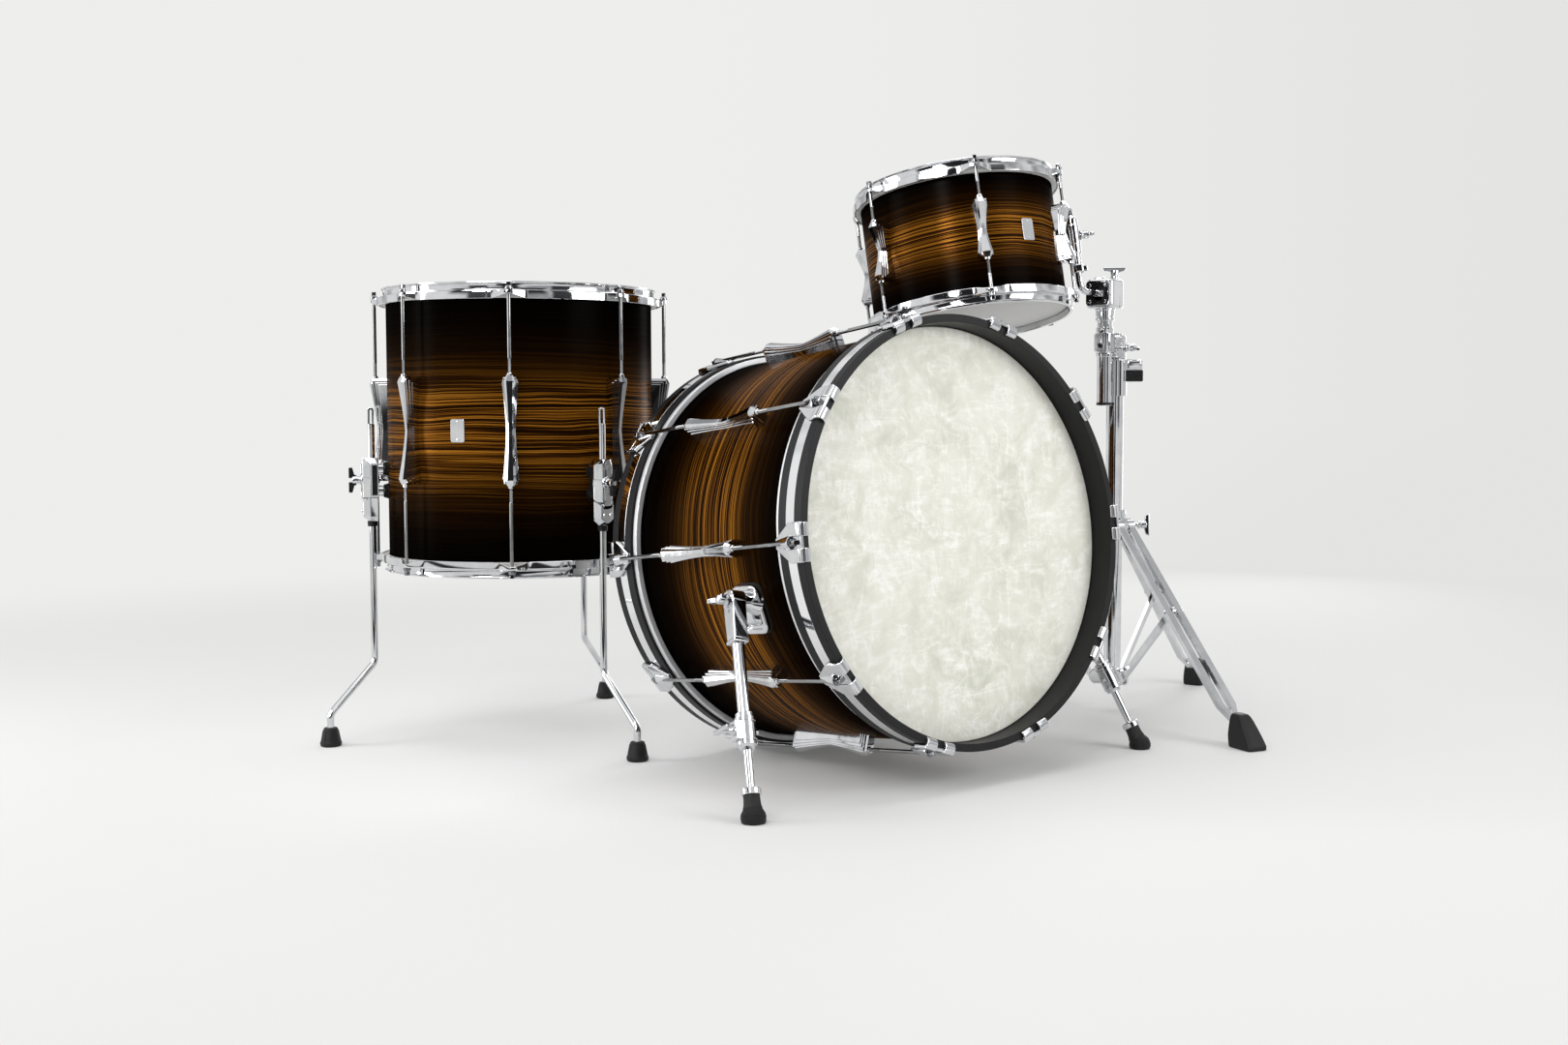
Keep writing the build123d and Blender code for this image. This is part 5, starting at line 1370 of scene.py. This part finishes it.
def build_floor():
    material, graph = new_finish("studio_floor")
    spot = graph.place()
    away = graph.vector("LENGTH", spot, (0.0, 0.0, 0.0), "Value")
    distance = graph.vector("DOT_PRODUCT", spot, FRONT_OF_SET, "Value")
    # Painted light: the floor is lighter beside the drums, round the floor tom, to lift their shadows, over a
    # faint random mottle
    painted_light_near_drums = 1 - graph.vector("DISTANCE", spot, (-0.4, 0.22, 0.0), "Value").between(0.25, 0.8)
    mottle_and_painted_light = graph.noise(spot, 0.8, 3.0) * 0.2 + painted_light_near_drums * 0.8
    tone = graph.blend(mottle_and_painted_light, rgb(0.74, 0.74, 0.735), rgb(0.89, 0.89, 0.89))
    lit = graph.node("ShaderNodeBsdfDiffuse", inputs={"Color": tone})
    glow = graph.node("ShaderNodeEmission", inputs={"Color": backdrop_tone(graph, spot)[0]})
    # Painted light: near the set a little glow is mixed in to soften the shadows; far off the floor glows
    # wholly in the backdrop's tone
    fading = away.between(0.5, 3.2) * 0.88 + 0.12
    paper = graph.node("ShaderNodeMixShader", inputs={0: fading, 1: lit, 2: glow})
    # Painted reflection: seen only in reflections, a band of floor ahead of the set is dark, for polished
    # metal to mirror
    sideways = abs(graph.vector("DOT_PRODUCT", spot, ASIDE_OF_SET, "Value"))
    lane = 1 - (sideways - distance * 0.14).between(0.25, 0.45)
    ahead = distance.between(1.05, 1.25) * (1 - distance.between(1.5, 1.8) * (1 - lane))
    mirrored_path = graph.node("ShaderNodeLightPath", out="Is Glossy Ray")
    painted_dark_reflection = graph.node("ShaderNodeEmission", inputs={"Color": DARKNESS})
    mixed = graph.node("ShaderNodeMixShader", inputs={0: ahead * mirrored_path, 1: paper, 2: painted_dark_reflection})
    graph.node("ShaderNodeOutputMaterial", inputs={"Surface": mixed})
    shape = bmesh.new()
    corners = oblong(FLOOR_HALF, -FLOOR_HALF, FLOOR_HALF)
    shape.faces.new([shape.verts.new((*corner, 0.0)) for corner in corners])
    floor = linked("studio_floor", mesh_of(shape, "studio_floor"))
    floor.data.materials.append(material)


def build_world():
    world = bpy.data.worlds.new("studio")
    world.use_nodes = True
    world.node_tree.nodes.clear()
    graph = Graph(world.node_tree)
    way = graph.node("ShaderNodeTexCoord", out="Generated")
    wall, azimuth = backdrop_tone(graph, way)
    height = graph.node("ShaderNodeSeparateXYZ", inputs={0: way}, out="Z")
    behind_camera = height.between(0.10, 0.17) * (1 - height.between(0.52, 0.62))
    shade = behind_camera * (1 - abs(azimuth - CAMERA_AZIMUTH).between(36.0, 44.0))
    for middle, half_width, depth in DARK_PANELS:
        panel = (1 - abs(azimuth - middle).between(half_width - 2.0, half_width + 2.0)) * depth
        shade = shade.math("MAXIMUM", shade, panel * (1 - height.between(0.45, 0.7)))
    softness = graph.noise(way, 2.6, 2.0).between(0.32, 0.66)
    left_wall = 1 - abs(azimuth - LEFT_WALL_AZIMUTH).between(22.0, 34.0)
    soft_light = graph.blend(softness + left_wall, rgb(0.34, 0.345, 0.355), rgb(0.92, 0.92, 0.92))
    mirrored_room = graph.blend(shade, soft_light, DARKNESS)
    window = 1 - abs(azimuth - WINDOW_AZIMUTH).between(3.0, 6.0)
    window = window * height.between(0.2, 0.26) * (1 - height.between(0.5, 0.6))
    mirrored_room = graph.blend(window, mirrored_room, rgb(24.0, 24.0, 24.0))
    path = graph.node("ShaderNodeLightPath", out="Is Camera Ray")
    seen = path + path.out("Is Transmission Ray")
    room = graph.blend(path.out("Is Glossy Ray"), rgb(0.42, 0.42, 0.42), mirrored_room)
    colour = graph.blend(seen, room, wall)
    sky = graph.node("ShaderNodeBackground", inputs={"Color": colour})
    graph.node("ShaderNodeOutputWorld", inputs={"Surface": sky})
    bpy.context.scene.world = world


def add_lamp(name, place, aim, size, power):
    data = bpy.data.lights.new(name, "AREA")
    data.shape = "RECTANGLE"
    data.size, data.size_y = size
    data.energy = power
    lamp = linked(name, data)
    lamp.location = place
    lamp.rotation_euler = (Vector(aim) - Vector(place)).to_track_quat("-Z", "Y").to_euler()


# The camera fitted to the photo: place in millimetres, yaw, pitch and roll, focal length
CAMERA_PLACE = Vector((-1789.0, -2008.7, 496.2))
CAMERA_ANGLES = (38.803, -3.667, -0.115)
CAMERA_LENS = 38.853


def build_camera():
    yaw, pitch, roll = (radians(angle) for angle in CAMERA_ANGLES)
    forward = Vector((sin(yaw) * cos(pitch), cos(yaw) * cos(pitch), sin(pitch)))
    level = Vector((cos(yaw), -sin(yaw), 0.0))
    upright = level.cross(forward)
    right = level * cos(roll) + upright * sin(roll)
    up = upright * cos(roll) - level * sin(roll)
    data = bpy.data.cameras.new("photo_view")
    data.sensor_width = 36.0
    data.lens = CAMERA_LENS
    data.clip_start, data.clip_end = 0.05, 200.0
    camera = linked("photo_view", data)
    camera.matrix_world = Matrix((right, up, -forward)).transposed().to_4x4()
    camera.location = CAMERA_PLACE * MM
    bpy.context.scene.camera = camera


build_floor()
build_world()
add_lamp("key_softbox", (-2.6, -1.0, 2.5), (-0.2, 0.0, 0.45), (1.8, 1.4), 30.0)
add_lamp("fill_softbox", (1.0, -3.0, 1.5), (0.0, 0.0, 0.5), (1.6, 1.4), 38.0)
add_lamp("top_softbox", (0.0, 0.2, 3.2), (0.0, 0.0, 0.0), (3.0, 2.6), 42.0)
add_lamp("left_strip", (-2.4, 1.3, 1.1), (-0.3, 0.2, 0.5), (0.7, 1.9), 23.0)
add_lamp("right_strip", (2.5, 1.0, 1.1), (0.2, 0.0, 0.5), (0.7, 1.9), 18.0)
build_camera()
bpy.context.scene.view_settings.view_transform = "Standard"
